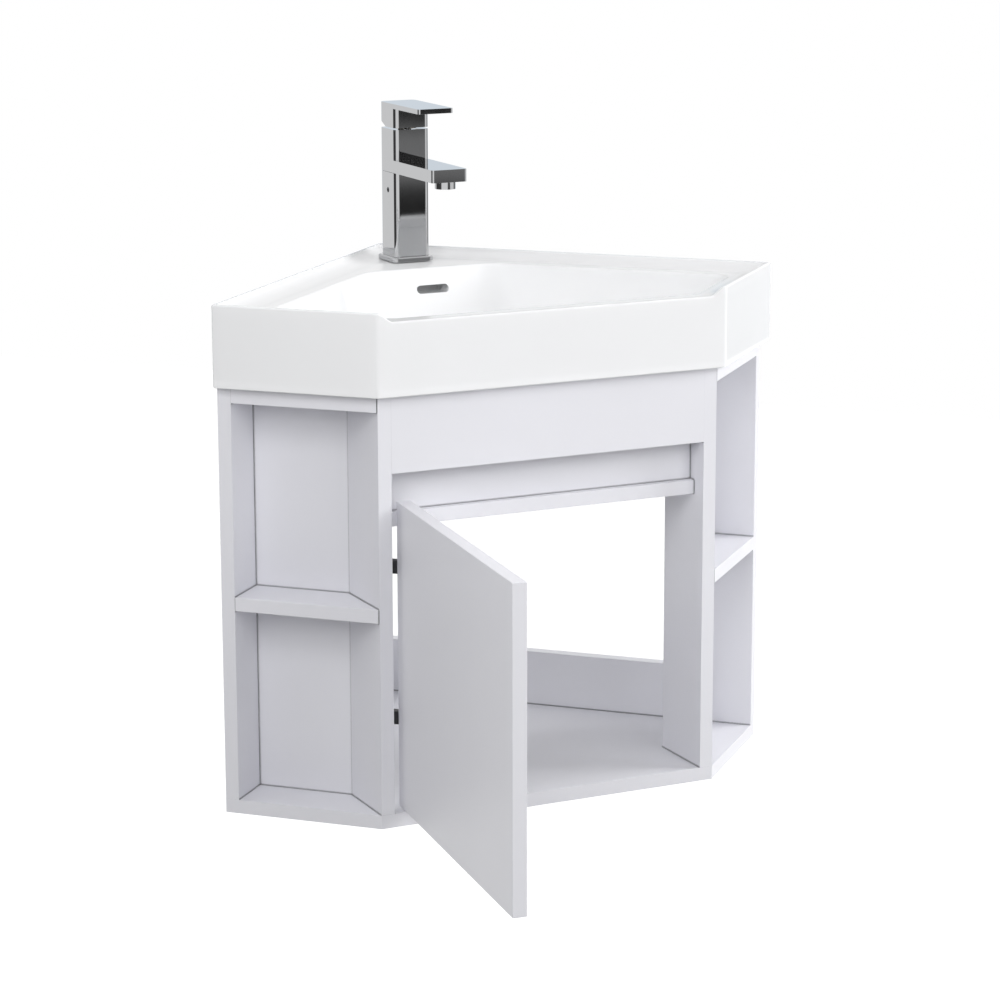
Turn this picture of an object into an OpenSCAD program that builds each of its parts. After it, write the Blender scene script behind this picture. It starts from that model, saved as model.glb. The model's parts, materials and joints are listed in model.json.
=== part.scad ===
// Corner vanity unit: a five-sided wall cabinet with two open niches and one
// inset door, a ceramic corner basin with a waste, and a square lever tap.
// Millimetres. The origin is the corner of the room at the cabinet's underside.
// The right-hand wall is the plane y = 0 and the left-hand wall is x = 0.
// The unit fills x > 0, y < 0, and its front faces the direction (1, -1).

/* [Basin] */
// Length of the basin along each wall
basin_leg = 500; // [460:1:560]
// Depth of the basin's flat side faces, square to the walls
basin_side = 195.7; // [180:0.1:210]
// Height of the basin's apron
apron_h = 93; // [80:1:110]
// Depth of the deck below the raised rim
rim_step = 10; // [8:0.5:14]
// Depth of the bowl below the deck
bowl_depth = 115; // [105:1:120]
// Height of the overflow slot
overflow_h = 9.5; // [8:0.5:12]

/* [Cabinet] */
// Length of the cabinet along each wall
cab_leg = 488; // [448:1:548]
// Depth of the cabinet's side faces, square to the walls
cab_side = 190; // [175:1:205]
// Height of the cabinet
cab_h = 492; // [480:1:560]
// Thickness of every board
board = 16; // [15:0.5:18]
// Depth of the open niches
niche_depth = 60; // [50:1:80]
// Height of the niche shelf's underside
shelf_z = 237; // [150:1:320]
// Height of the lower back rails
rail_h = 68; // [60:1:90]

/* [Door] */
// Height of the door's lower edge
door_z = 20; // [17.5:0.5:22]
// Height of the door
door_h = 350.5; // [340:0.5:354]
// Gap between the door's edges and the dividers
door_gap = 1.5; // [1.5:0.25:2.5]
// Angle at which the door stands open
door_open = 96.6; // [0:0.1:96.6]
// Height of the lower hinge
hinge_low_z = 118; // [90:1:140]
// Height of the upper hinge
hinge_high_z = 292; // [250:1:310]

/* [Tap] */
// Width of the tap, spout and handle
tap_w = 45; // [42:0.5:48]
// Depth of the tap's body, front to back
tap_d = 45; // [42:0.5:48]
// Height of the handle's top above the deck
tap_h = 191; // [186:0.5:200]
// Reach of the spout in front of the body
spout_reach = 107; // [90:0.5:120]
// Thickness of the spout
spout_t = 15; // [14:0.5:18]
// Reach of the handle's plate in front of the body
lever_reach = 69; // [60:0.5:80]

/* [Hidden] */

r2 = sqrt(2);
fine = 48;

// Front planes, as distances from the room corner along the unit's middle
cab_front = (cab_leg + cab_side) / r2;
basin_front = (basin_leg + basin_side) / r2;
front_w = (cab_leg - cab_side) * r2;
door_bay = front_w - 2 * board;

// Cabinet levels
top_board_drop = 2;
top_board_z = cab_h - top_board_drop - board;
fascia_z = 405;
channel_floor_z = 340.5;
channel_front = 458.4;
channel_depth = 14.7;
channel_back_h = 80;
hanging_h = 100;
tip_cut = 1.5;

// Fixings
dowel_d = 8;
dowel_len = 30;
dowel_in_face = 11;
dowel_fit = 0.2;
dowel_edge = 22;
screw_len = 50;
wall_hole_d = 6.5;
wall_hole_pitch = 240;
wall_hole_z = 454;

// Door swing, in the front frame: u along the front, v towards the corner
hinge_u = -door_bay / 2 + 12.39;
hinge_v = -cab_front + 2.34;
cup_edge = 3;
cup_r = 17.5;
cup_depth = 12.6;

// Basin levels and wall thicknesses
basin_z = cab_h;
rim_z = basin_z + apron_h;
deck_z = rim_z - rim_step;
deck_t = 12;
skirt_t = 20;
shell_t = 9;
tap_v = -82.3;
tap_hole_d = 35;
notch_half = 195.5;
notch_run = 19;
bowl_back = 155;
bowl_wall_in = 51.5;
bowl_side_in = 36.5;
bowl_front_in = 24;
waste_v = -311;
bowl_floor_z = deck_z - bowl_depth;

// ---------------------------------------------------------------------------
// Placement

// Local x runs along the front to the right, local y towards the room corner
module front_frame() {
    rotate(45) children();
}

// The right-hand side is the left-hand side mirrored across the middle plane
module right_side() {
    mirror([1, 1, 0]) children();
}

// From the closed door to the door as it stands open
module door_swing(angle = door_open) {
    translate([hinge_u, hinge_v, 0])
        rotate(-angle)
            translate([-hinge_u, -hinge_v, 0])
                children();
}

// Tap frame: origin on the deck under the tap's middle, spout along -y
module tap_frame() {
    front_frame() translate([0, tap_v, deck_z]) children();
}

function front_xy(u, v) = [(u - v) / r2, (u + v) / r2];

// ---------------------------------------------------------------------------
// Shapes that several parts use

// Rounded rectangle centred on the origin
module rounded_rect(w, d, r) {
    square([w - 2 * r, d], center = true);
    square([w, d - 2 * r], center = true);
    for (sx = [-1, 1], sy = [-1, 1])
        translate([sx * (w / 2 - r), sy * (d / 2 - r)]) circle(r = r, $fn = fine);
}

// Arc of points between two angles
function arc(cx, cy, r, from, to, n) =
    [for (i = [0 : n]) let (a = from + (to - from) * i / n) [cx + r * cos(a), cy + r * sin(a)]];

// One corner of an outline, rounded to radius r. The corner point is p and
// the outline turns there from direction a_in to direction a_out, to the left.
function corner(p, a_in, a_out, r, n) =
    let (turn = a_out - a_in,
         back = r * tan(turn / 2),
         c = [p[0] - back * cos(a_in) - r * sin(a_in), p[1] - back * sin(a_in) + r * cos(a_in)])
    arc(c[0], c[1], r, a_in - 90, a_out - 90, n);

// Six-sided outline in the front frame, set in from the basin's edges by
// w at the walls, s at the side faces and f at the front, and cut off by a
// back edge at distance b from the room corner. Radii: rs side, rf front, rb back.
function bowl_outline(w, s, f, b, rs, rf, rb, n = 6) =
    let (v_front = -(basin_front - f),
         u_front = v_front + (basin_leg - s) * r2,
         u_side = (basin_leg - s - w) / r2,
         v_side = -(basin_leg - s + w) / r2,
         u_back = b - w * r2)
    concat(
        corner([-u_front, v_front], -45, 0, rf, n),
        corner([u_front, v_front], 0, 45, rf, n),
        corner([u_side, v_side], 45, 135, rs, n),
        corner([u_back, -b], 135, 180, rb, n),
        corner([-u_back, -b], 180, 225, rb, n),
        corner([-u_side, v_side], 225, 315, rs, n));

// Five-sided outline of the basin set in by i. Its two front corners have
// radius r, and the corners at the ends of the walls have radius wing_r
function pentagon(i, r, wing_r, n = 4) =
    let (v_front = -(basin_front - i),
         u_front = v_front + (basin_leg - i) * r2,
         u_side = (basin_leg - 2 * i) / r2,
         v_side = -basin_leg / r2,
         b = i * r2)
    concat(
        corner([-u_front, v_front], -45, 0, r, n),
        corner([u_front, v_front], 0, 45, r, n),
        corner([u_side, v_side], 45, 135, wing_r, n),
        corner([0, -b], 135, 225, r, n),
        corner([-u_side, v_side], 225, 315, wing_r, n));

// Solid through a stack of rings, each [outline, z], lowest ring first
module loft(rings) {
    n = len(rings[0][0]);
    m = len(rings);
    points = [for (ring = rings) for (p = ring[0]) [p[0], p[1], ring[1]]];
    sides = [for (k = [0 : m - 2]) for (i = [0 : n - 1])
        let (j = (i + 1) % n, a = k * n + i, b = k * n + j, c = a + n, d = b + n)
        for (t = [[a, d, b], [a, c, d]]) t];
    polyhedron(points, concat(sides, [[for (i = [0 : n - 1]) i],
        [for (i = [n - 1 : -1 : 0]) (m - 1) * n + i]]), convexity = 6);
}

// ---------------------------------------------------------------------------
// Cabinet boards

// Outline of the cabinet's floor
module cabinet_outline() {
    polygon([[0, 0], [0, -cab_leg], [cab_side, -cab_leg], [cab_leg, -cab_side], [cab_leg, 0]]);
}

niche_back_y = -(cab_leg - niche_depth);
outer_u = -front_w / 2;
inner_u = -door_bay / 2;
// v of the two ends of the mitre between divider and niche back
mitre_outer_v = niche_back_y * r2 - outer_u;
mitre_inner_v = (niche_back_y + board) * r2 - inner_u;
mitre_outer = front_xy(outer_u, mitre_outer_v);
mitre_inner = front_xy(inner_u, mitre_inner_v);

// Outline of a niche's shelf, between wall panel, niche back and divider
module shelf_outline() {
    polygon([
        [board, -cab_leg], [cab_side - tip_cut, -cab_leg],
        [cab_side - tip_cut, -cab_leg + tip_cut],
        [mitre_outer[0], niche_back_y], [board, niche_back_y]
    ]);
}

module left_shelf_board(z) {
    difference() {
        translate([0, 0, z]) linear_extrude(board) shelf_outline();
        shelf_dowels(z, dowel_d + dowel_fit);
    }
}

module left_wall_board() {
    difference() {
        translate([0, -cab_leg, board]) cube([board, niche_depth + board, cab_h - board]);
        rail_dowels(dowel_d + dowel_fit);
    }
}

module left_divider_board() {
    difference() {
        front_frame() translate([0, 0, board]) linear_extrude(cab_h - board)
            polygon([
                [outer_u, -cab_front], [inner_u, -cab_front],
                [inner_u, mitre_inner_v], [outer_u, mitre_outer_v]
            ]);
        front_dowels(dowel_d + dowel_fit);
    }
}

module left_niche_back_board() {
    difference() {
        translate([0, 0, board]) linear_extrude(cab_h - board)
            polygon([
                [board, niche_back_y], mitre_outer, mitre_inner,
                [board, niche_back_y + board]
            ]);
        for (z = [shelf_z, top_board_z]) shelf_dowels(z, dowel_d + dowel_fit);
    }
}

// A rail along the left-hand wall from z, h high, to the wall panel
module left_rail(z, h) {
    difference() {
        translate([0, niche_back_y + board, z]) cube([board, -(niche_back_y + board), h]);
        rail_dowels(dowel_d + dowel_fit);
    }
}

// A rail along the right-hand wall stops short of the left-hand one
module right_rail(z, h) {
    difference() {
        right_side() left_rail(z, h);
        translate([-1, -board - 1, z - 1]) cube([board + 1, board + 2, h + 2]);
    }
}

module wall_holes() {
    mid = (niche_back_y + board) / 2;
    for (s = [-1, 1])
        translate([-1, mid + s * wall_hole_pitch / 2, wall_hole_z])
            rotate([0, 90, 0]) cylinder(d = wall_hole_d, h = board + 2, $fn = fine);
}

laminate = [0.90, 0.90, 0.92];

module bottom_panel() {
    color(laminate) difference() {
        linear_extrude(board) cabinet_outline();
        bottom_screw_places() translate([0, 0, -1]) {
            cylinder(d = 7.2, h = board + 2, $fn = fine);
            cylinder(d = 10.4, h = 4.2, $fn = fine);
        }
    }
}

module left_wall_panel() { color(laminate) left_wall_board(); }
module right_wall_panel() { color(laminate) right_side() left_wall_board(); }
module left_divider() { color(laminate) left_divider_board(); }
module right_divider() { color(laminate) right_side() left_divider_board(); }
module left_niche_back() { color(laminate) left_niche_back_board(); }
module right_niche_back() { color(laminate) right_side() left_niche_back_board(); }
module left_niche_top() { color(laminate) left_shelf_board(top_board_z); }
module right_niche_top() { color(laminate) right_side() left_shelf_board(top_board_z); }
module left_shelf() { color(laminate) left_shelf_board(shelf_z); }
module right_shelf() { color(laminate) right_side() left_shelf_board(shelf_z); }

module fascia() {
    color(laminate) difference() {
        front_frame() translate([-door_bay / 2, -cab_front, fascia_z])
            cube([door_bay, board, cab_h - fascia_z]);
        both_sides() front_dowels(dowel_d + dowel_fit);
    }
}

module channel_back() {
    color(laminate) difference() {
        front_frame()
            translate([-door_bay / 2, -cab_front + board + channel_depth, channel_floor_z + board])
                cube([door_bay, board, channel_back_h]);
        both_sides() front_dowels(dowel_d + dowel_fit);
    }
}

module channel_rail() {
    back = -cab_front + 2 * board + channel_depth;
    color(laminate) difference() {
        front_frame() translate([-door_bay / 2, -channel_front, channel_floor_z])
            cube([door_bay, back + channel_front, board]);
        both_sides() front_dowels(dowel_d + dowel_fit);
    }
}

module left_bottom_rail() { color(laminate) left_rail(board, rail_h); }
module right_bottom_rail() { color(laminate) right_rail(board, rail_h); }

module left_hanging_rail() {
    color(laminate) difference() {
        left_rail(cab_h - hanging_h, hanging_h);
        wall_holes();
    }
}

module right_hanging_rail() {
    color(laminate) difference() {
        right_rail(cab_h - hanging_h, hanging_h);
        right_side() wall_holes();
    }
}

// ---------------------------------------------------------------------------
// Cabinet fixings

module both_sides() {
    children();
    right_side() children();
}

// Dowel along +x from the joint face at x = 0, with dowel_in_face behind it
module dowel(d) {
    translate([-dowel_in_face, 0, 0]) rotate([0, 90, 0]) cylinder(d = d, h = dowel_len, $fn = 32);
}

// Dowels between the boards across the front and the left-hand divider
module front_dowels(d) {
    v_fascia = -cab_front + board / 2;
    v_channel = -cab_front + board * 1.5 + channel_depth;
    front_frame() {
        for (z = [fascia_z + dowel_edge, cab_h - dowel_edge]) translate([inner_u, v_fascia, z]) dowel(d);
        for (z = [channel_floor_z + board + 18, channel_floor_z + board + channel_back_h - 18])
            translate([inner_u, v_channel, z]) dowel(d);
        translate([inner_u, v_channel - 4, channel_floor_z + board / 2]) dowel(d);
    }
}

// Dowels between the niche back and a board at height z
module shelf_dowels(z, d) {
    for (x = [board + dowel_edge, mitre_outer[0] - 30])
        translate([x, niche_back_y, z + board / 2]) rotate(-90) dowel(d);
}

// Dowels between the wall panel's back edge and the rails
module rail_dowels(d) {
    for (z = [board + rail_h / 2, cab_h - hanging_h / 2 - 20])
        translate([board / 2, niche_back_y + board, z]) rotate(90) dowel(d);
}

module carcass_dowels() {
    color("burlywood") both_sides() {
        front_dowels(dowel_d);
        for (z = [shelf_z, top_board_z]) shelf_dowels(z, dowel_d);
        rail_dowels(dowel_d);
    }
}

// Screws go up through the floor into the standing boards
module bottom_screw_places() {
    both_sides() {
        for (y = [-cab_leg + 15, -cab_leg + niche_depth]) translate([board / 2, y, 0]) children();
        translate([board + 60, niche_back_y + board / 2, 0]) children();
        translate([board / 2, -250, 0]) children();
        front_frame() for (v = [-cab_front + dowel_edge, mitre_outer_v - dowel_edge])
            translate([inner_u - board / 2, v, 0]) children();
    }
}

module bottom_screws() {
    color("silver") bottom_screw_places() {
        difference() {
            cylinder(d = 10, h = 3, $fn = fine);
            translate([0, 0, -1]) cylinder(d = 4.6, h = 3, $fn = 6);
        }
        cylinder(d = 7, h = board, $fn = fine);
        cylinder(d = 5, h = screw_len, $fn = fine);
    }
}

// ---------------------------------------------------------------------------
// Door and its hinges

hinge_levels = [hinge_low_z, hinge_high_z];

// Hinge frame on the left-hand divider: x into the bay, y behind the front
module hinge_frame(z) {
    front_frame() translate([inner_u, -cab_front, z]) children();
}

// Hinge cup frame on the closed door: centre of the cup on the inner face
module cup_frame(z) {
    front_frame() door_swing()
        translate([inner_u + door_gap + cup_edge + cup_r, -cab_front + board, z])
            children();
}

// A plate stands plate_b behind the front: a tall wing that is screwed on, and
// a rib that the arm lies on
plate_b = 58;
plate_w = 18;
wing_h = 52;
wing_t = 2;
rib_l = 32;
rib_t = 4.2;
plate_hole_z = 16;
plate_hole_d = 5;
plate_screw_d = 4.6;
plate_screw_in = 10;
plate_head_d = 8;
plate_head_h = 1.8;
arm_hole_b = 10;
arm_screw_d = 3.9;
arm_screw_len = 14;
arm_w = 15;
arm_tip_b = 24;

module plate_holes() {
    for (s = [-1, 1]) translate([0, plate_b, s * plate_hole_z]) rotate([0, 90, 0]) children();
}

module arm_holes() {
    for (s = [-1, 1]) translate([0, plate_b + s * arm_hole_b, 0]) rotate([0, 90, 0]) children();
}

module hinge_plate() {
    translate([0, plate_b, 0]) {
        translate([0, -plate_w / 2, -wing_h / 2]) cube([wing_t, plate_w, wing_h]);
        translate([0, -rib_l / 2, -plate_w / 2]) cube([rib_t, rib_l, plate_w]);
    }
}

module hinge_plates() {
    color("silver") for (z = hinge_levels) hinge_frame(z) difference() {
        hinge_plate();
        plate_holes() translate([0, 0, -1]) cylinder(d = plate_hole_d, h = wing_t + 4, $fn = fine);
        arm_holes() translate([0, 0, -1]) cylinder(d = arm_screw_d + 0.1, h = rib_t + 4, $fn = fine);
    }
}

module hinge_plate_screws() {
    color("dimgray") for (z = hinge_levels) hinge_frame(z) plate_holes() {
        translate([0, 0, -plate_screw_in])
            cylinder(d = plate_screw_d, h = plate_screw_in + wing_t + 0.2, $fn = fine);
        translate([0, 0, wing_t]) cylinder(d = plate_head_d, h = plate_head_h, $fn = fine);
    }
}

// Cranked arm: it lies on the plate and steps out towards the cup
module hinge_arm() {
    difference() {
        linear_extrude(arm_w, center = true) polygon([
            [rib_t, plate_b + 17], [rib_t, plate_b - 17], [14, arm_tip_b + 6], [22, arm_tip_b],
            [30, arm_tip_b - 1], [32, arm_tip_b + 4], [25, arm_tip_b + 9],
            [14, plate_b - 15], [13, plate_b + 17]
        ]);
        arm_holes() translate([0, 0, 3]) cylinder(d = arm_screw_d + 0.1, h = 14, $fn = fine);
    }
}

module upper_hinge_arm() { color([0.15, 0.15, 0.16]) hinge_frame(hinge_high_z) hinge_arm(); }
module lower_hinge_arm() { color([0.15, 0.15, 0.16]) hinge_frame(hinge_low_z) hinge_arm(); }

module hinge_arm_screws() {
    color("silver") for (z = hinge_levels) hinge_frame(z) arm_holes() translate([0, 0, 0.5])
        cylinder(d = arm_screw_d, h = arm_screw_len, $fn = fine);
}

module door() {
    color(laminate) difference() {
        front_frame() door_swing() translate([inner_u + door_gap, -cab_front, door_z])
            cube([door_bay - 2 * door_gap, board, door_h]);
        for (z = hinge_levels) cup_frame(z) rotate([90, 0, 0])
            cylinder(r = cup_r + 0.1, h = cup_depth + 0.2, $fn = fine);
    }
}

// Cup: a pressed bowl with a flat flange for two screws
cup_wall = 1.4;
cup_flange_t = 1.2;
cup_flange_w = 16;
cup_flange_h = 60;
cup_screw_x = 5;
cup_screw_z = 24;
cup_screw_d = 3.8;
cup_screw_len = 12;
cup_head_d = 7.6;

module cup_holes() {
    for (s = [-1, 1]) translate([cup_screw_x, 0, s * cup_screw_z]) rotate([90, 0, 0]) children();
}

module hinge_cup() {
    difference() {
        union() {
            rotate([90, 0, 0]) cylinder(r = cup_r, h = cup_depth, $fn = fine);
            rotate([-90, 0, 0]) linear_extrude(cup_flange_t) {
                circle(r = cup_r + 1, $fn = fine);
                translate([cup_screw_x, 0]) rounded_rect(cup_flange_w, cup_flange_h, 4);
            }
        }
        translate([0, 3, 0]) rotate([90, 0, 0])
            cylinder(r = cup_r - cup_wall, h = cup_depth + 2, $fn = fine);
        cup_holes() translate([0, 0, -3]) cylinder(d = cup_screw_d + 0.4, h = 6, $fn = fine);
    }
}

module upper_hinge_cup() { color("silver") cup_frame(hinge_high_z) hinge_cup(); }
module lower_hinge_cup() { color("silver") cup_frame(hinge_low_z) hinge_cup(); }

module hinge_cup_screws() {
    color("dimgray") for (z = hinge_levels) cup_frame(z) cup_holes() {
        translate([0, 0, -cup_flange_t]) cylinder(d = cup_screw_d, h = cup_screw_len, $fn = fine);
        translate([0, 0, -cup_flange_t - plate_head_h])
            cylinder(d = cup_head_d, h = plate_head_h, $fn = fine);
    }
}

bumper_r = 5;
bumper_t = 1.2;
bumper_places = [-door_bay / 2 + 60, door_bay / 2 - 20];

module door_bumpers() {
    color([0.85, 0.85, 0.85]) front_frame() door_swing()
        for (u = bumper_places)
            translate([u, -cab_front + board, channel_floor_z + board / 2])
                rotate([-90, 0, 0]) cylinder(r1 = bumper_r, r2 = bumper_r - 1, h = bumper_t, $fn = fine);
}

// ---------------------------------------------------------------------------
// Basin

// Bowl rings from the floor up, then the rounded lip at the deck
bowl_steps = 9;
lip_r = 4;
lip_steps = 3;
floor_fall = 4;
floor_core = 0.4;
wall_lean = 100;
side_lean = 140;
side_slope = 40;
back_lean = 70;
back_slope = 30;
side_corner_r = 20;
front_corner_r = 26;
back_corner_r = 60;
floor_corner_r = 30;
bowl_drop = bowl_depth - lip_r - floor_fall;

// Ring at angle t of the bowl's elliptic wall, 0 at the lip and 90 at the floor,
// moved out square to the wall by thickness
function bowl_ring(t, thickness = 0) =
    let (lean = 1 - cos(t),
         out = thickness * cos(t),
         wall = wall_lean * lean - out,
         side = side_lean * lean + side_slope * sin(t) - out,
         back = back_lean * lean + back_slope * sin(t) - out,
         back_r = back_corner_r - (back_corner_r - floor_corner_r) * t / 90)
    [bowl_outline(bowl_wall_in + wall, bowl_side_in + side, bowl_front_in + wall, bowl_back + back,
        side_corner_r, front_corner_r, back_r), deck_z - lip_r - (bowl_drop + thickness) * sin(t)];

function lip_ring(a) =
    let (i = lip_r * (sin(a) - 1))
    [bowl_outline(bowl_wall_in + i, bowl_side_in + i, bowl_front_in + i, bowl_back + i,
        side_corner_r, front_corner_r, back_corner_r), deck_z - lip_r * (1 - cos(a))];

// A ring drawn in towards the waste by the factor k, at height z
function ring_to_waste(ring, k, z) =
    [[for (p = ring[0]) [k * p[0], waste_v + k * (p[1] - waste_v)]], z];

// Cove rings from the deck up to the raised rim, 0 at the rim and 90 at the deck
cove_steps = 5;
rim_w = 4;
cove_wall = 30;
cove_side = 24;
cove_front = 14;
cove_corner_r = 14;
rim_corner_r = 6;
function cove_ring(a) =
    let (c = 1 - cos(a), w = rim_w + cove_wall * c, r = rim_corner_r + 10 * c)
    [bowl_outline(w, rim_w + cove_side * c, rim_w + cove_front * c, w * r2 + 8, r, r, cove_corner_r),
        rim_z - rim_step * sin(a)];

module bowl_void() {
    loft(concat(
        [ring_to_waste(bowl_ring(90), floor_core, bowl_floor_z)],
        [for (i = [0 : bowl_steps - 1]) bowl_ring(90 - 90 * i / bowl_steps)],
        [for (i = [0 : lip_steps]) lip_ring(90 - 90 * i / lip_steps)],
        [for (i = [0 : cove_steps]) cove_ring(90 - 90 * i / cove_steps)],
        [[cove_ring(0)[0], rim_z + 2]]));
}

module bowl_shell() {
    loft(concat(
        [ring_to_waste(bowl_ring(90, shell_t), floor_core, bowl_floor_z - shell_t)],
        [for (i = [0 : bowl_steps - 1]) bowl_ring(90 - 90 * i / bowl_steps, shell_t)],
        [[bowl_ring(0, shell_t)[0], deck_z - lip_r]]));
}

// Outer block of the basin, with its lower and upper edges rounded
front_r = 6;
wing_r = 2.5;

module basin_outer() {
    loft([
        [pentagon(1.5, front_r - 1, wing_r - 1), basin_z],
        [pentagon(0, front_r, wing_r), basin_z + 1.5],
        [pentagon(0, front_r, wing_r), rim_z - 1.8],
        [pentagon(0.5, front_r - 0.4, wing_r - 0.4), rim_z - 0.5],
        [pentagon(1.8, front_r - 1, wing_r - 1), rim_z]
    ]);
}

module basin_hollow() {
    inside = pentagon(skirt_t, 8, 8);
    loft([[inside, basin_z - 1], [inside, deck_z - deck_t]]);
}

// Front notch: the rim falls in an S-curve to the deck on both sides
notch_steps = 8;

module front_notch() {
    function s_curve(t) = (1 - cos(180 * t)) / 2;
    end = notch_half + notch_run;
    right = [for (i = [0 : notch_steps]) let (t = i / notch_steps)
        [notch_half + notch_run * t, deck_z + rim_step * s_curve(t)]];
    left = [for (i = [notch_steps : -1 : 0]) [-right[i][0], right[i][1]]];
    translate([0, -basin_front + skirt_t + 10, 0]) rotate([90, 0, 0]) linear_extrude(skirt_t + 14)
        polygon(concat(right, [[end, rim_z + 3], [-end, rim_z + 3]], left));
}

// Overflow: a slot in the bowl's back wall, a duct down behind the bowl and
// then forward under its floor to the waste
overflow_z = 550.5;
overflow_w = 41.5;
duct_w = 44;
duct_wall = 7;
duct_gap = 15;
duct_h = 9;
duct_back_v = -130;
duct_z = bowl_floor_z - 17;
casing_z = duct_z - duct_wall;
casing_v = -158;
boss_d = 74;

module overflow_casing() {
    w = duct_w + 2 * duct_wall;
    under = bowl_floor_z + 1 - casing_z;
    translate([-w / 2, casing_v, casing_z])
        cube([w, duct_back_v + duct_wall - casing_v, deck_z - deck_t + 1 - casing_z]);
    translate([-w / 2, waste_v, casing_z]) cube([w, casing_v - waste_v + 1, under]);
    translate([0, waste_v, casing_z]) cylinder(d = boss_d, h = under, $fn = fine);
}

module overflow_duct() {
    translate([-duct_w / 2, duct_back_v - duct_gap, duct_z])
        cube([duct_w, duct_gap, overflow_z + duct_h - duct_z]);
    translate([-duct_w / 2, waste_v, duct_z]) cube([duct_w, duct_back_v - waste_v, duct_h]);
    translate([0, duct_back_v - duct_gap / 2, overflow_z]) rotate([90, 0, 0]) linear_extrude(40)
        rounded_rect(overflow_w, overflow_h, overflow_h / 2 - 0.1);
}

// Hole for the waste, with a recess for its flange and seal
waste_hole_d = 46;
waste_recess_d = 66;
waste_recess = 4.5;

module basin() {
    color([0.96, 0.96, 0.965]) front_frame() difference() {
        union() {
            difference() {
                basin_outer();
                basin_hollow();
            }
            bowl_shell();
            overflow_casing();
        }
        bowl_void();
        front_notch();
        overflow_duct();
        translate([0, tap_v, deck_z - deck_t - 1]) cylinder(d = tap_hole_d, h = deck_t + 2, $fn = fine);
        translate([0, waste_v, casing_z - 1]) cylinder(d = waste_hole_d, h = 60, $fn = fine);
        translate([0, waste_v, bowl_floor_z - waste_recess])
            cylinder(d = waste_recess_d, h = waste_recess + floor_fall, $fn = fine);
    }
}

// ---------------------------------------------------------------------------
// Waste with a push plug

module waste_frame() {
    front_frame() translate([0, waste_v, bowl_floor_z]) children();
}

waste_r = 20.95;
waste_bore_r = 18.6;
waste_len = 72;
flange_r = 31.5;
flange_t = 3;
seat_r = 26.2;
seat_depth = 1.2;
seal_t = 1.5;
seal_z = -29;
lower_seal_t = 5;
nut_h = 9;
nut_r = 27;
// Free end below the nut, and the groove where the nut's thread runs out
tail_len = 30;
groove_r = 20.2;
// Cross that guides the plug's stem
stem_r = 3.2;
guide_r = 6;
guide_top = -19;
guide_len = 15;
arm_top = -20;
arm_h = 10;
arm_t = 2.4;
// Slots that let in the water of the overflow
inlet_slot_z = -18;
inlet_slot_h = 8;
inlet_slot_w = 10;

module waste_body() {
    color("silver") waste_frame() difference() {
        union() {
            difference() {
                union() {
                    translate([0, 0, -flange_t]) cylinder(r = flange_r, h = flange_t + 0.3, $fn = fine);
                    translate([0, 0, seal_z - nut_h])
                        cylinder(r = waste_r, h = nut_h - seal_z - 1, $fn = fine);
                    translate([0, 0, -waste_len]) cylinder(r = groove_r, h = waste_len - 1, $fn = fine);
                    translate([0, 0, -waste_len]) cylinder(r = waste_r, h = tail_len, $fn = fine);
                }
                translate([0, 0, -seat_depth]) cylinder(r = seat_r, h = 6, $fn = fine);
                translate([0, 0, -waste_len - 1]) cylinder(r = waste_bore_r, h = waste_len + 2, $fn = fine);
                for (a = [0, 90]) rotate(a) translate([-25, -inlet_slot_w / 2, inlet_slot_z])
                    cube([50, inlet_slot_w, inlet_slot_h]);
            }
            for (a = [45, 135]) rotate(a) translate([-waste_bore_r - 0.4, -arm_t / 2, arm_top - arm_h])
                cube([2 * waste_bore_r + 0.8, arm_t, arm_h]);
            translate([0, 0, guide_top - guide_len]) cylinder(r = guide_r, h = guide_len, $fn = fine);
        }
        translate([0, 0, guide_top - guide_len - 1])
            cylinder(r = stem_r + 0.3, h = guide_len + 2, $fn = fine);
    }
}

module waste_top_seal() {
    color("black") waste_frame() translate([0, 0, -flange_t - seal_t]) difference() {
        cylinder(r = flange_r - 0.5, h = seal_t, $fn = fine);
        translate([0, 0, -1]) cylinder(r = 23.2, h = seal_t + 2, $fn = fine);
    }
}

module waste_bottom_seal() {
    color("black") waste_frame() translate([0, 0, seal_z]) difference() {
        cylinder(r = nut_r + 3, h = lower_seal_t, $fn = fine);
        translate([0, 0, -1]) cylinder(r = waste_r + 0.1, h = lower_seal_t + 2, $fn = fine);
    }
}

module waste_nut() {
    color("silver") waste_frame() translate([0, 0, seal_z - nut_h]) difference() {
        union() {
            cylinder(r = nut_r, h = nut_h, $fn = 8);
            translate([0, 0, nut_h - 2]) cylinder(r = nut_r + 2, h = 2, $fn = fine);
        }
        translate([0, 0, -1]) cylinder(r = waste_r + 0.1, h = nut_h + 2, $fn = fine);
    }
}

// Domed plug on a stem that slides in the waste's cross
plug_r = 25.5;
dome_h = 2.6;

module waste_plug() {
    color("silver") waste_frame() rotate_extrude($fn = fine) polygon(concat(
        [[0, -46], [stem_r, -46], [stem_r, -3], [8, -3], [18, -1.2], [plug_r, -1.2], [plug_r, 0.6]],
        [for (i = [0 : 6]) [(plug_r - 0.5) * cos(15 * i), 1 + dome_h * sin(15 * i)]]));
}

// ---------------------------------------------------------------------------
// Tap

tap_r = 6;
gasket_t = 1;
plate_t = 6.5;
seam_z = 108.1;
spout_z = 108.4;
head_top = 160.2;
handle_z = 162.2;
lever_t = 5.8;
stem_z = 172;
lift_clear = 24;
chamfer_run = 17;
sleeve_t = 4;
steel = [0.78, 0.79, 0.81];

// Body outline: square with rounded vertical edges
module tap_outline(inset = 0) {
    rounded_rect(tap_w - 2 * inset, tap_d - 2 * inset, tap_r - inset);
}

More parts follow.
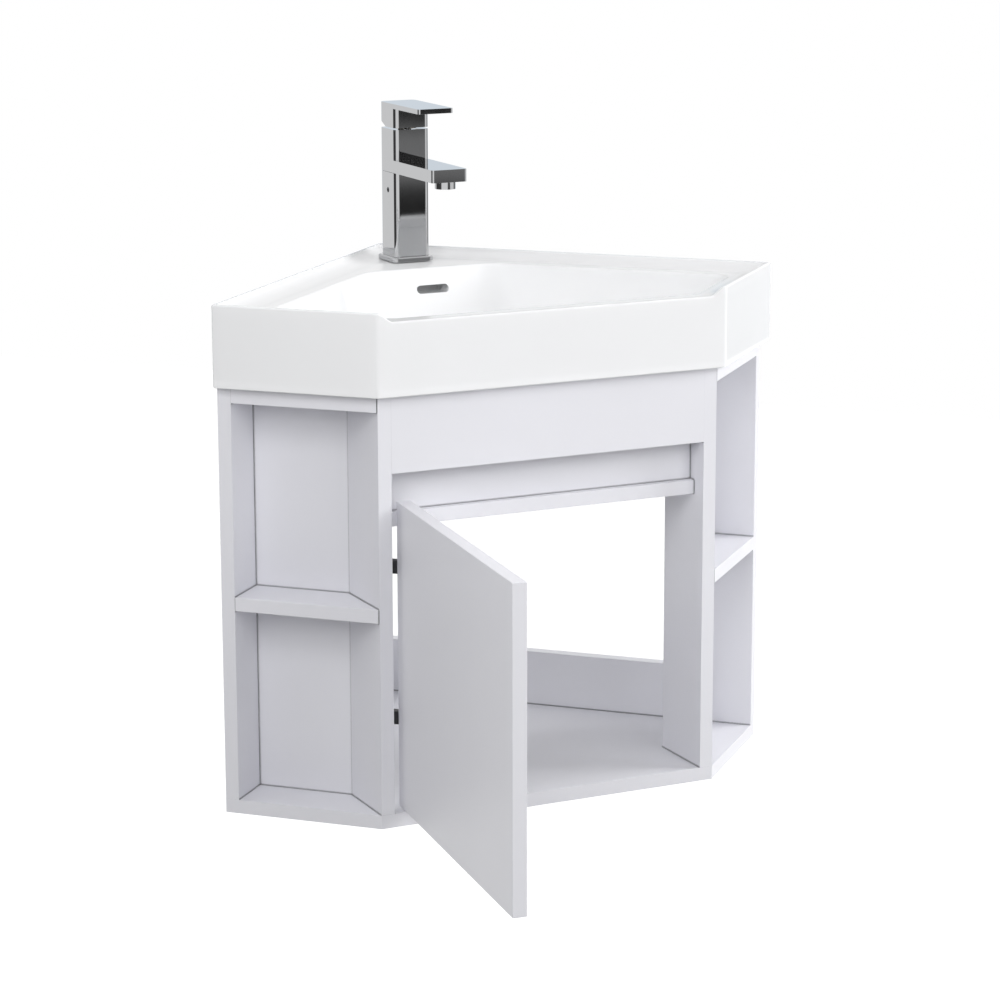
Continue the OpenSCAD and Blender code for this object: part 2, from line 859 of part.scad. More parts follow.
// Outline of a plate as wide as the body that reaches forward, its front
// corners rounded to radius r
module reach_outline(reach, r) {
    y0 = -tap_d / 2 - reach;
    translate([-tap_w / 2, y0 + r]) square([tap_w, reach + 10 - r]);
    translate([-tap_w / 2 + r, y0]) square([tap_w - 2 * r, r + 1]);
    for (s = [-1, 1]) translate([s * (tap_w / 2 - r), y0 + r]) circle(r = r, $fn = fine);
}

// Openings for the stud and the two supply threads
stud_y = 10.5;
stud_d = 8;
inlet_x = 8.2;
inlet_y = -6;
inlet_r = 4.75;
inlet_len = 15;
tube_r = 3.4;
block_t = 20;

module inlet_places() {
    for (s = [-1, 1]) translate([s * inlet_x, inlet_y, 0]) children();
}

// The seal is round, so that it lies wholly on the flat of the deck
gasket_d = 44;
foot_bore_d = 33;

module tap_gasket() {
    color("black") tap_frame() linear_extrude(gasket_t) difference() {
        circle(d = gasket_d, $fn = fine);
        circle(d = foot_bore_d, $fn = fine);
    }
}

base_w = 53;
base_d = 52;
base_edge = 0.8;

module tap_base_plate() {
    color(steel) tap_frame() difference() {
        union() {
            translate([0, 0, gasket_t]) linear_extrude(plate_t - gasket_t - base_edge)
                rounded_rect(base_w, base_d, tap_r);
            translate([0, 0, plate_t - base_edge]) linear_extrude(base_edge)
                rounded_rect(base_w - 2 * base_edge, base_d - 2 * base_edge, tap_r - base_edge);
        }
        translate([0, 0, -1]) cylinder(d = foot_bore_d, h = plate_t + 2, $fn = fine);
    }
}

// A small screw in the left-hand side holds the head in the column
lock_y = 0;
lock_z = 86.5;
lock_d = 6.4;

module lock_place(x) {
    translate([x, lock_y, lock_z]) rotate([0, 90, 0]) children();
}

// Lower half of the body: a sleeve with a base block for the threads
module tap_column() {
    color(steel) tap_frame() difference() {
        translate([0, 0, plate_t]) linear_extrude(seam_z - plate_t) tap_outline();
        translate([0, 0, plate_t + block_t]) linear_extrude(seam_z) tap_outline(sleeve_t);
        translate([0, stud_y, 0]) cylinder(d = stud_d + 0.1, h = 60, $fn = fine);
        inlet_places() {
            cylinder(r = inlet_r, h = plate_t + inlet_len, $fn = fine);
            cylinder(r = tube_r + 0.05, h = 60, $fn = fine);
        }
        lock_place(-tap_w / 2 - 1) cylinder(d = lock_d, h = sleeve_t + 3, $fn = fine);
    }
}

// Pipes inside the column from the supply threads up to the head
tube_len = 72;

module supply_pipes() {
    color("darkgoldenrod") tap_frame() inlet_places()
        translate([0, 0, plate_t + inlet_len]) difference() {
            cylinder(r = tube_r, h = tube_len, $fn = fine);
            translate([0, 0, -1]) cylinder(r = tube_r - 1, h = tube_len + 2, $fn = fine);
        }
}

module column_screw() {
    color("dimgray") tap_frame() lock_place(-tap_w / 2 + 1.2) difference() {
        cylinder(d = lock_d - 0.2, h = 6, $fn = fine);
        translate([0, 0, -1]) cylinder(d = 3.4, h = 3.5, $fn = 6);
    }
}

// Upper half of the body with the spout, bored for the cartridge
socket_z = 84;
cartridge_z = 119;
cartridge_bore_r = 14;
outlet_y = -tap_d / 2 - spout_reach + 12.8;
channel_z = spout_z + 5;
channel_d = 9;

module tap_head() {
    color(steel) tap_frame() difference() {
        union() {
            translate([0, 0, spout_z]) linear_extrude(head_top - spout_z) tap_outline();
            translate([0, 0, spout_z]) linear_extrude(spout_t) reach_outline(spout_reach, 3);
            translate([0, 0, socket_z]) linear_extrude(spout_z + 1 - socket_z)
                tap_outline(sleeve_t + 0.2);
        }
        translate([0, 0, cartridge_z]) cylinder(r = cartridge_bore_r, h = 60, $fn = fine);
        translate([0, outlet_y, channel_z]) rotate([-90, 0, 0])
            cylinder(d = channel_d, h = -outlet_y + 2, $fn = fine);
        translate([0, outlet_y, spout_z - 1]) cylinder(r = aerator_thread_r + 0.2, h = 7.5, $fn = fine);
        inlet_places() translate([0, 0, socket_z - 4])
            cylinder(r = tube_r + 0.1, h = cartridge_z + 3 - socket_z, $fn = fine);
        translate([0, -8, channel_z]) cylinder(r = 3, h = cartridge_z + 3 - channel_z, $fn = fine);
        lock_place(-tap_w / 2 + sleeve_t - 1) cylinder(d = lock_d, h = 5.5, $fn = fine);
    }
}

// Ring with a grid of thin bars across its bore
aerator_r = 12.2;
aerator_h = 8.5;
aerator_thread_r = 10.8;
aerator_bore_r = 10;
bar_t = 0.8;
bar_pitch = 2.8;

module tap_aerator() {
    color(steel) tap_frame() translate([0, outlet_y, spout_z]) difference() {
        union() {
            translate([0, 0, -aerator_h]) cylinder(r = aerator_r, h = aerator_h, $fn = fine);
            cylinder(r = aerator_thread_r, h = 5, $fn = fine);
        }
        difference() {
            translate([0, 0, -aerator_h - 1]) cylinder(r = aerator_bore_r, h = aerator_h + 8, $fn = fine);
            translate([0, 0, -aerator_h + 1.5]) linear_extrude(5) for (i = [-3 : 3]) {
                translate([i * bar_pitch, 0]) square([bar_t, 2 * aerator_bore_r + 1], center = true);
                translate([0, i * bar_pitch]) square([2 * aerator_bore_r + 1, bar_t], center = true);
            }
        }
    }
}

// Cartridge, the threaded ring that holds it down, and the rotor inside it
rotor_r = 8;
rotor_z = 131;
rotor_top = 2.6;
collar_z = 143;

module tap_cartridge() {
    color([0.85, 0.85, 0.82]) tap_frame() difference() {
        union() {
            translate([0, 0, cartridge_z])
                cylinder(r = cartridge_bore_r - 0.3, h = collar_z - cartridge_z, $fn = fine);
            translate([0, 0, collar_z]) cylinder(r = 11, h = 6, $fn = fine);
        }
        translate([0, 0, rotor_z - 1]) cylinder(r = rotor_r + 0.3, h = 30, $fn = fine);
    }
}

module cartridge_nut() {
    color("darkgoldenrod") tap_frame() translate([0, 0, collar_z + 0.2]) difference() {
        union() {
            cylinder(r = cartridge_bore_r - 0.2, h = 13, $fn = fine);
            translate([0, 0, 13]) cylinder(r = 12.8, h = 3, $fn = 6);
        }
        translate([0, 0, -1]) cylinder(r = 11.2, h = 6.8, $fn = fine);
        translate([0, 0, -1]) cylinder(r = rotor_r + 0.4, h = 20, $fn = fine);
    }
}

// Rotor: turns in the cartridge and carries the stem's pin
module cartridge_rotor() {
    color("white") tap_frame() difference() {
        translate([0, 0, rotor_z]) cylinder(r = rotor_r, h = stem_z + rotor_top - rotor_z, $fn = fine);
        translate([-3.3, -20, 150]) cube([6.6, 40, 60]);
        translate([-20, 0, stem_z]) rotate([0, 90, 0]) cylinder(d = pin_d + 0.04, h = 40, $fn = fine);
    }
}

pin_d = 2.96;

module rotor_pin() {
    color("silver") tap_frame() translate([-7.6, 0, stem_z]) rotate([0, 90, 0])
        cylinder(d = pin_d, h = 15.2, $fn = fine);
}

// Stem: swings on the pin, its square end sits in the handle
stem_w = 6;
stem_up = 17;

module cartridge_stem() {
    color("silver") tap_frame() difference() {
        union() {
            translate([-stem_w / 2, -stem_w / 2, stem_z - 9]) cube([stem_w, stem_w, stem_up + 9]);
            translate([-stem_w / 2, 0, stem_z]) rotate([0, 90, 0]) cylinder(r = 4.2, h = stem_w, $fn = fine);
        }
        translate([-10, 0, stem_z]) rotate([0, 90, 0]) cylinder(d = pin_d + 0.14, h = 20, $fn = fine);
    }
}

// Handle: a hollow block with a long flat lever plate on top
hollow_top = 7.5;
hollow_wall = 5;
set_screw_z = stem_z + 12;
set_screw_d = 4;

module tap_handle() {
    y_rear = tap_d / 2;
    fall = chamfer_run * tan(lift_clear);
    color(steel) tap_frame() difference() {
        union() {
            translate([0, 0, handle_z]) linear_extrude(tap_h - handle_z) tap_outline();
            translate([0, 0, tap_h - lever_t]) linear_extrude(lever_t) reach_outline(lever_reach, 3);
        }
        // lower rear edge cut away so that the handle can tip back
        translate([-tap_w, 0, 0]) rotate([90, 0, 90]) linear_extrude(2 * tap_w)
            polygon([[y_rear - chamfer_run, handle_z - 0.01], [y_rear + 1, handle_z - 0.01],
                [y_rear + 1, handle_z + fall + tan(lift_clear)]]);
        // hollow over the rotor
        translate([0, 0, handle_z - 1]) linear_extrude(stem_z + hollow_top - handle_z + 1)
            tap_outline(hollow_wall);
        translate([-stem_w / 2 - 0.05, -stem_w / 2 - 0.05, stem_z])
            cube([stem_w + 0.1, stem_w + 0.1, stem_up + 0.1]);
        translate([0, tap_d / 2 + 1, set_screw_z]) rotate([90, 0, 0])
            cylinder(d = set_screw_d + 0.1, h = tap_d / 2 + 1, $fn = fine);
    }
}

module handle_screw() {
    color("dimgray") tap_frame() translate([0, 14, set_screw_z]) rotate([90, 0, 0]) difference() {
        cylinder(d = set_screw_d, h = 14 - stem_w / 2 - 0.2, $fn = fine);
        translate([0, 0, -1]) cylinder(d = 2.3, h = 3, $fn = 6);
    }
}

// Clamping under the deck
washer_t = 3;
clamp_nut_h = 12;

module tap_stud() {
    color("silver") tap_frame() translate([0, stud_y, -75])
        cylinder(d = stud_d, h = 75 + plate_t + 18, $fn = fine);
}

// Horseshoe washer, open to the front for the supply hoses
module tap_clamp_washer() {
    mouth_y = -11.2;
    mouth_r = 15.5;
    color("silver") tap_frame() translate([0, 0, -deck_t - washer_t]) linear_extrude(washer_t) difference() {
        circle(r = 24, $fn = fine);
        translate([0, mouth_y]) circle(r = mouth_r, $fn = fine);
        translate([-mouth_r, mouth_y - 30]) square([2 * mouth_r, 30]);
        translate([0, stud_y]) circle(d = stud_d + 0.2, $fn = fine);
    }
}

module tap_nut() {
    color("darkgoldenrod") tap_frame() translate([0, stud_y, -deck_t - washer_t - clamp_nut_h]) difference() {
        cylinder(r = 7.5, h = clamp_nut_h, $fn = 6);
        translate([0, 0, -1]) cylinder(d = stud_d + 0.1, h = clamp_nut_h + 2, $fn = fine);
    }
}

// ---------------------------------------------------------------------------

bottom_panel();
left_wall_panel();
right_wall_panel();
left_divider();
right_divider();
left_niche_back();
right_niche_back();
left_niche_top();
right_niche_top();
left_shelf();
right_shelf();
fascia();
channel_back();
channel_rail();
left_bottom_rail();
right_bottom_rail();
left_hanging_rail();
right_hanging_rail();
carcass_dowels();
bottom_screws();
hinge_plates();
hinge_plate_screws();
upper_hinge_arm();
lower_hinge_arm();
hinge_arm_screws();
door();
upper_hinge_cup();
lower_hinge_cup();
hinge_cup_screws();
door_bumpers();
basin();
waste_body();
waste_top_seal();
waste_bottom_seal();
waste_nut();
waste_plug();
tap_gasket();
tap_base_plate();
tap_column();
tap_head();
tap_aerator();
tap_cartridge();
cartridge_nut();
supply_pipes();
column_screw();
tap_stud();
tap_clamp_washer();
tap_nut();
cartridge_rotor();
rotor_pin();
cartridge_stem();
tap_handle();
handle_screw();
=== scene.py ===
"""Looks of a corner vanity unit: laminate cabinet, ceramic corner basin and chrome lever tap.

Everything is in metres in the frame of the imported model: the origin is the corner of the room at
the cabinet's underside, the walls are the planes x = 0 and y = 0, and +Z is up.
"""

from __future__ import annotations

import json
import logging
import math
from dataclasses import dataclass
from enum import Enum
from typing import Callable, Iterable, Sequence

import bmesh
import bpy
import numpy as np
from mathutils import Matrix, Vector

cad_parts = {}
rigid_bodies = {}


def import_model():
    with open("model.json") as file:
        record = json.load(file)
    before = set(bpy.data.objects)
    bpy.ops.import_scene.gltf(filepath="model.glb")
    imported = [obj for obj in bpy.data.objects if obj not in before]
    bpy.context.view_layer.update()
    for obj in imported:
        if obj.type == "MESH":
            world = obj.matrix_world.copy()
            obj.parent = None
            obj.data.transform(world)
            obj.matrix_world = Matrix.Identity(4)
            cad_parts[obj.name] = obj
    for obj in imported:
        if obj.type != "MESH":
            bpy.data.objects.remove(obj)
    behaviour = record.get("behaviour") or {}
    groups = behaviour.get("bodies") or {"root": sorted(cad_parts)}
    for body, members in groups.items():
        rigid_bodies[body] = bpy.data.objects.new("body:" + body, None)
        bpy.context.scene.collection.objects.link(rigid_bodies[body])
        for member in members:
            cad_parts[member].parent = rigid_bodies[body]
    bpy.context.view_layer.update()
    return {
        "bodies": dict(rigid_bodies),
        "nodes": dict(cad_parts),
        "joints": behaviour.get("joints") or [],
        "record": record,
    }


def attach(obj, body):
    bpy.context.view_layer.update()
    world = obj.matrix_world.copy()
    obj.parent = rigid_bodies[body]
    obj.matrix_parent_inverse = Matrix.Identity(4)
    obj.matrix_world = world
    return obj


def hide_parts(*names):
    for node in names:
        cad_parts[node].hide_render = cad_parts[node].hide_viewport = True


LOG = logging.getLogger("vanity")
MM = 0.001
ROOT2 = math.sqrt(2.0)

Colour = tuple[float, float, float]
WHITE: Colour = (1.0, 1.0, 1.0)
OPENNESS_RAYS = 6
MERGE_DISTANCE = 1e-6
# Angles between two faces of a solid, in degrees: up to the first they are one face, over the
# second their edge is rounded, and over the third it shows as an edge
FLAT_ANGLE, EDGE_ANGLE, SMOOTH_ANGLE = 0.5, 35.0, 30.0


class Slot(Enum):
    """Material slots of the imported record."""

    LAMINATE = "laminate"
    DOWEL = "dowel_wood"
    HINGE_STEEL = "hinge_steel"
    HINGE_BLACK = "hinge_black"
    CLEAR_RUBBER = "clear_rubber"
    CERAMIC = "ceramic_white"
    CHROME = "tap_chrome"
    BRASS = "brass"
    BLACK_RUBBER = "black_rubber"
    ACETAL = "cartridge_plastic"
    SCREW_STEEL = "screw_steel"
    SET_SCREW = "black_oxide"


class Body(Enum):
    """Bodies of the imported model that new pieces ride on."""

    CABINET = "cabinet"
    DOOR = "door"
    LEVER = "tap_lever"


# ---------------------------------------------------------------------------
# Shader graphs


class Field:
    """A number that varies over a surface: one output socket with Python's arithmetic."""

    def __init__(self, graph: Graph, socket: bpy.types.NodeSocket) -> None:
        """Wraps a socket of a graph."""
        self.graph = graph
        self.socket = socket

    def _math(self, operation: str, *values: Field | float) -> Field:
        """Adds a Math node.

        Args:
            operation: What it works out.
            *values: Its inputs, in order.

        Returns:
            Its result.
        """
        inputs = dict(enumerate(values))
        node = self.graph.add("ShaderNodeMath", {"operation": operation}, inputs)
        return Field(self.graph, node.outputs[0])

    def __add__(self, other: Field | float) -> Field:
        """Sum."""
        return self._math("ADD", self, other)

    __radd__ = __add__

    def __rsub__(self, other: Field | float) -> Field:
        """Difference, with the field on the right."""
        return self._math("SUBTRACT", other, self)

    def __mul__(self, other: Field | float) -> Field:
        """Product."""
        return self._math("MULTIPLY", self, other)

    __rmul__ = __mul__

    def __truediv__(self, other: Field | float) -> Field:
        """Quotient."""
        return self._math("DIVIDE", self, other)

    def angle_with(self, other: Field) -> Field:
        """Angle of the point (other, self) round the origin, in radians."""
        return self._math("ARCTAN2", self, other)

    def above(self, level: float, soft: float) -> Field:
        """Rises from 0 to 1 across a band round a level.

        Args:
            level: The value at which the result is one half.
            soft: Half the width of the band.

        Returns:
            The clamped ramp.
        """
        settings = {"interpolation_type": "SMOOTHSTEP"}
        inputs = {"Value": self, "From Min": level - soft, "From Max": level + soft}
        return Field(self.graph, self.graph.add("ShaderNodeMapRange", settings, inputs).outputs[0])


class Graph:
    """Node tree of one material or of the world."""

    def __init__(self, tree: bpy.types.NodeTree) -> None:
        """Empties a node tree and wraps it."""
        self.tree = tree
        tree.nodes.clear()

    @classmethod
    def of_material(cls, name: str) -> tuple[bpy.types.Material, Graph]:
        """Makes a material with an empty graph.

        Args:
            name: The material's name.

        Returns:
            The material and its graph.
        """
        material = bpy.data.materials.new(name)
        material.use_nodes = True
        return material, cls(material.node_tree)

    def add(
        self,
        kind: str,
        settings: dict[str, object] | None = None,
        inputs: dict[str | int, object] | None = None,
    ) -> bpy.types.Node:
        """Adds any node.

        Args:
            kind: The node's type name.
            settings: Properties to set first; "stops" fills a colour ramp.
            inputs: Values or links, by socket name or number.

        Returns:
            The node.
        """
        node = self.tree.nodes.new(kind)
        for key, value in (settings or {}).items():
            if key == "stops":
                self._fill_ramp(node.color_ramp, value)
            else:
                setattr(node, key, value)
        for key, value in (inputs or {}).items():
            self._feed(node.inputs[key], value)
        return node

    @staticmethod
    def _fill_ramp(ramp: bpy.types.ColorRamp, stops: Sequence[tuple[float, Colour]]) -> None:
        """Sets the stops of a colour ramp.

        Args:
            ramp: The ramp.
            stops: Places from 0 to 1 and their colours.
        """
        while len(ramp.elements) < len(stops):
            ramp.elements.new(1.0)
        for element, (place, colour) in zip(ramp.elements, stops):
            element.position = place
            element.color = (*colour, 1.0)

    def _feed(self, socket: bpy.types.NodeSocket, value: object) -> None:
        """Links or sets one input socket.

        Args:
            socket: The input.
            value: A link's source, a colour or a plain value.
        """
        if isinstance(value, Field):
            self.tree.links.new(value.socket, socket)
        elif isinstance(value, bpy.types.NodeSocket):
            self.tree.links.new(value, socket)
        elif isinstance(value, tuple) and len(value) == 3 and socket.type == "RGBA":
            socket.default_value = (*value, 1.0)
        else:
            socket.default_value = value

    def place(self) -> bpy.types.NodeSocket:
        """Object coordinates, in metres."""
        return self.add("ShaderNodeTexCoord").outputs["Object"]

    def parts(self, vector: bpy.types.NodeSocket) -> tuple[Field, Field, Field]:
        """The three numbers of a vector."""
        node = self.add("ShaderNodeSeparateXYZ", None, {"Vector": vector})
        return tuple(Field(self, output) for output in node.outputs)

    def ramp(self, factor: Field, stops: Sequence[tuple[float, Colour]]) -> bpy.types.NodeSocket:
        """Colour looked up along a row of stops."""
        return self.add("ShaderNodeValToRGB", {"stops": stops}, {"Fac": factor}).outputs["Color"]

    def stretched(self, stretch: tuple[float, float, float]) -> bpy.types.NodeSocket:
        """Object coordinates scaled separately along the three axes."""
        inputs = {"Vector": self.place(), "Scale": stretch}
        return self.add("ShaderNodeMapping", None, inputs).outputs["Vector"]

    def noise(
        self,
        where: bpy.types.NodeSocket,
        scale: float,
        detail: float = 2.0,
        roughness: float = 0.5,
    ) -> Field:
        """Cloudy noise between 0 and 1.

        Args:
            where: Coordinates.
            scale: Lumps per metre.
            detail: Number of finer layers.
            roughness: Strength of each finer layer.

        Returns:
            The noise value.
        """
        inputs = {"Vector": where, "Scale": scale, "Detail": detail, "Roughness": roughness}
        return Field(self, self.add("ShaderNodeTexNoise", None, inputs).outputs["Fac"])

    def blend(self, factor: Field, low: object, high: object) -> bpy.types.NodeSocket:
        """Mixes two colours by a number field.

        Args:
            factor: 0 gives low and 1 gives high.
            low: Colour or socket.
            high: Colour or socket.

        Returns:
            The mixed colour's socket.
        """
        settings = {"data_type": "RGBA"}
        node = self.add("ShaderNodeMix", settings, {0: factor, 6: low, 7: high})
        return node.outputs[2]

    def tinted(
        self, factor: Field, colour: Colour, tint: tuple[float, float]
    ) -> bpy.types.NodeSocket:
        """Colour that wavers between two brightnesses.

        Args:
            factor: 0 gives the first brightness and 1 the second.
            colour: The plain colour.
            tint: The two brightnesses, as factors.

        Returns:
            The colour's socket.
        """
        return self.blend(factor, shade(colour, tint[0]), shade(colour, tint[1]))

    def bump(self, height: Field, distance: float, strength: float = 1.0) -> bpy.types.NodeSocket:
        """Normal disturbed by a height field.

        Args:
            height: Height between 0 and 1.
            distance: Real height of 1, in metres.
            strength: Share of the effect.

        Returns:
            The normal's socket.
        """
        inputs = {"Height": height, "Distance": distance, "Strength": strength}
        return self.add("ShaderNodeBump", None, inputs).outputs["Normal"]

    def openness(self, reach: float) -> Field:
        """How freely a point sees its surroundings within a reach: 1 in the open, low in gaps."""
        node = self.add("ShaderNodeAmbientOcclusion", {"samples": OPENNESS_RAYS}, {"Distance": reach})
        return Field(self, node.outputs["AO"])

    def seen(self) -> Field:
        """Tells which rays see the studio's white.

        Returns:
            1 for rays from the camera, from gloss and from clear pieces, and 0 for the rest.
        """
        path = self.add("ShaderNodeLightPath")
        kinds = ("Is Camera Ray", "Is Glossy Ray", "Is Transmission Ray")
        camera, glossy, through = (Field(self, path.outputs[kind]) for kind in kinds)
        return (camera + glossy + through).above(0.5, 0.1)

    def surface(self, **sockets: object) -> None:
        """Ends the graph in a Principled shader.

        Args:
            **sockets: Its inputs, with spaces written as underscores.
        """
        inputs = {key.replace("_", " "): value for key, value in sockets.items()}
        shader = self.add("ShaderNodeBsdfPrincipled", None, inputs)
        self.add("ShaderNodeOutputMaterial", None, {"Surface": shader.outputs["BSDF"]})


def shade(colour: Colour, factor: float) -> Colour:
    """Colour with every channel multiplied by one factor."""
    return tuple(channel * factor for channel in colour)


@dataclass(frozen=True)
class Laminate:
    """Satin laminate: faint cloudiness, a pearl texture, uneven sheen, dark joint lines and painted
    shade in inner corners and grooves.
    """

    name: str = "satin_laminate"
    colour: Colour = (0.79, 0.79, 0.83)
    tint: tuple[float, float] = (0.985, 1.012)
    roughness: float = 0.36
    spread: float = 0.1
    ior: float = 1.48
    pearl_per_metre: float = 900.0
    pearl_height: float = 0.000012
    pearl_strength: float = 0.6
    cloud_per_metre: float = 9.0
    # Painted shade in inner corners and grooves, which also gives the dark joint lines: its reach,
    # darkness and openness band
    joint_and_painted_shade_reach: float = 0.0025
    joint_and_painted_shade_level: float = 0.4
    joint_and_painted_shade_openness: tuple[float, float] = (0.8, 0.13)

    def make(self) -> bpy.types.Material:
        """Builds the material.

        Returns:
            Laminate whose colour darkens where little of its surroundings is open: dark joint lines, and
            painted shade in inner corners and grooves.
        """
        material, graph = Graph.of_material(self.name)
        where = graph.place()
        cloud = graph.noise(where, self.cloud_per_metre, 3.0)
        pearl = graph.noise(where, self.pearl_per_metre, 2.0, 0.6)
        handled = graph.noise(where, self.cloud_per_metre * 3, 4.0, 0.6)
        board = graph.tinted(cloud, self.colour, self.tint)
        # Painted shade: ambient occlusion darkens the base colour in inner corners and grooves, and so
        # also draws the dark joint lines
        clear = graph.openness(self.joint_and_painted_shade_reach).above(*self.joint_and_painted_shade_openness)
        graph.surface(
            Base_Color=graph.blend(clear, shade(self.colour, self.joint_and_painted_shade_level), board),
            Roughness=self.roughness + self.spread * handled,
            Normal=graph.bump(pearl, self.pearl_height, self.pearl_strength),
            IOR=self.ior,
        )
        return material


@dataclass(frozen=True)
class Glaze:
    """Gloss white glaze over fired clay, with the soft unevenness of a poured glaze."""

    name: str = "white_glaze"
    colour: Colour = (0.905, 0.91, 0.92)
    tint: tuple[float, float] = (0.99, 1.01)
    roughness: float = 0.07
    spread: float = 0.05
    coat: float = 0.35
    coat_roughness: float = 0.04
    ior: float = 1.52
    wave_per_metre: float = 14.0
    wave_height: float = 0.00025
    wave_strength: float = 0.5

    def make(self) -> bpy.types.Material:
        """Builds the material.

        Returns:
            Glaze under a thin clear coat.
        """
        material, graph = Graph.of_material(self.name)
        where = graph.place()
        wave = graph.noise(where, self.wave_per_metre, 1.0)
        fine = graph.noise(where, self.wave_per_metre * 60, 2.0)
        graph.surface(
            Base_Color=graph.tinted(wave, self.colour, self.tint),
            Roughness=self.roughness + self.spread * fine,
            Coat_Weight=self.coat,
            Coat_Roughness=self.coat_roughness,
            Normal=graph.bump(wave, self.wave_height, self.wave_strength),
            IOR=self.ior,
        )
        return material


@dataclass(frozen=True)
class Metal:
    """Bare or plated metal with fine directional or cloudy marks."""

    name: str
    colour: Colour
    roughness: float
    spread: float = 0.05
    marks_per_metre: float = 400.0
    stretch: tuple[float, float, float] = (1.0, 1.0, 1.0)
    relief: float = 0.0
    tint: tuple[float, float] = (0.97, 1.0)

    def make(self) -> bpy.types.Material:
        """Builds the material.

        Returns:
            Metal whose marks waver in colour and sheen, and stand out where it has relief.
        """
        material, graph = Graph.of_material(self.name)
        where = graph.stretched(self.stretch)
        marks = graph.noise(where, self.marks_per_metre, 3.0, 0.6)
        sockets = {
            "Base_Color": graph.tinted(marks, self.colour, self.tint),
            "Metallic": 1.0,
            "Roughness": self.roughness + self.spread * marks,
        }
        if self.relief:
            sockets["Normal"] = graph.bump(marks, self.relief)
        graph.surface(**sockets)
        return material


@dataclass(frozen=True)
class Coating:
    """Paint, rubber or plastic with a grained surface."""

    name: str
    colour: Colour
    roughness: float
    grain_per_metre: float = 1500.0
    grain_height: float = 0.00002
    alpha: float = 1.0
    grain_strength: float = 0.5
    spread: float = 0.08
    tint: tuple[float, float] = (0.92, 1.05)

    def make(self) -> bpy.types.Material:
        """Builds the material.

        Returns:
            Grained coat, worn in broader patches.
        """
        material, graph = Graph.of_material(self.name)
        where = graph.place()
        grain = graph.noise(where, self.grain_per_metre, 3.0, 0.6)
        worn = graph.noise(where, self.grain_per_metre / 20, 3.0)
        graph.surface(
            Base_Color=graph.tinted(worn, self.colour, self.tint),
            Roughness=self.roughness + self.spread * worn,
            Alpha=self.alpha,
            Normal=graph.bump(grain, self.grain_height, self.grain_strength),
        )
        return material


@dataclass(frozen=True)
class Beech:
    """Turned beech with long fibres and short dark flecks."""

    name: str = "beech"
    light: Colour = (0.62, 0.46, 0.28)
    dark: Colour = (0.42, 0.28, 0.15)
    roughness: float = 0.55
    spread: float = 0.2
    fibres_per_metre: float = 700.0
    fibre_stretch: tuple[float, float, float] = (0.2, 0.2, 4.0)
    fibre_height: float = 0.00005
    flecks_per_metre: float = 1400.0
    fleck_share: float = 0.3

    def make(self) -> bpy.types.Material:
        """Builds the material.

        Returns:
            Wood that darkens along its fibres and in its flecks.
        """
        material, graph = Graph.of_material(self.name)
        fibres = graph.noise(graph.stretched(self.fibre_stretch), self.fibres_per_metre, 4.0, 0.65)
        flecks = graph.noise(graph.place(), self.flecks_per_metre, 1.0).above(0.62, 0.05)
        share = self.fleck_share
        graph.surface(
            Base_Color=graph.blend(fibres * (1 - share) + flecks * share, self.light, self.dark),
            Roughness=self.roughness + self.spread * fibres,
            Normal=graph.bump(fibres, self.fibre_height),
        )
        return material


class Finishes:
    """All finishes, each made once and looked up by the record's slot."""

    def __init__(self) -> None:
        """Makes every material."""
        recipes = {
            Slot.LAMINATE: Laminate(),
            Slot.CERAMIC: Glaze(),
            Slot.CHROME: Metal("chrome_plate", (0.555, 0.56, 0.57), 0.035, 0.02,
                               marks_per_metre=60.0),
            Slot.HINGE_STEEL: Metal("nickel_steel", (0.62, 0.62, 0.63), 0.24, 0.12,
                                    marks_per_metre=500.0, stretch=(1.0, 1.0, 6.0), relief=0.00001),
            Slot.HINGE_BLACK: Coating("black_hinge_coat", (0.02, 0.02, 0.022), 0.42),
            Slot.SCREW_STEEL: Metal("screw_steel", (0.5, 0.5, 0.51), 0.3, 0.15,
                                    marks_per_metre=900.0),
            Slot.SET_SCREW: Coating("black_oxide", (0.03, 0.03, 0.033), 0.4),
            Slot.BRASS: Metal("turned_brass", (0.72, 0.52, 0.25), 0.28, 0.12,
                              marks_per_metre=300.0, stretch=(1.0, 1.0, 12.0), relief=0.00002),
            Slot.BLACK_RUBBER: Coating("seal_rubber", (0.025, 0.025, 0.025), 0.65),
            Slot.CLEAR_RUBBER: Coating("clear_buffer", (0.80, 0.81, 0.82), 0.2,
                                       grain_per_metre=800.0, grain_height=0.00001, alpha=0.6),
            Slot.ACETAL: Coating("white_acetal", (0.72, 0.72, 0.69), 0.38),
            Slot.DOWEL: Beech(),
        }
        self.materials = {slot: recipe.make() for slot, recipe in recipes.items()}

    def __getitem__(self, slot: Slot) -> bpy.types.Material:
        """Material of a slot."""
        return self.materials[slot]


# ---------------------------------------------------------------------------
# Meshes


def front_to_row(points: np.ndarray) -> np.ndarray:
    """Turns points of the front frame (u right, v towards the corner) into the row frame.

    The turn is by 45 degrees about +Z: x = (u - v) / sqrt 2 and y = (u + v) / sqrt 2.

    Args:
        points: Array whose last axis is u, v, z.

    Returns:
        The same array in the row frame.
    """
    u, v, z = points[..., 0], points[..., 1], points[..., 2]
    return np.stack([(u - v) / ROOT2, (u + v) / ROOT2, z], axis=-1)


def grid_quads(rows: int, columns: int, close_profile: bool) -> np.ndarray:
    """Quads of a grid of points that closes round its columns.

    Point (k, i) has the number k * columns + i, and each quad joins (k, i), (k, i + 1),
    (k + 1, i + 1) and (k + 1, i).

    Args:
        rows: Number of rings.
        columns: Points in a ring.
        close_profile: True joins the last ring to the first.

    Returns:
        Array of four point numbers a quad.
    """
    k = np.arange(rows if close_profile else rows - 1)[:, None]
    i = np.arange(columns)[None, :]
    after, right = (k + 1) % rows, (i + 1) % columns
    corners = [k * columns + i, k * columns + right, after * columns + right, after * columns + i]
    return np.stack(corners, axis=-1).reshape(-1, 4)


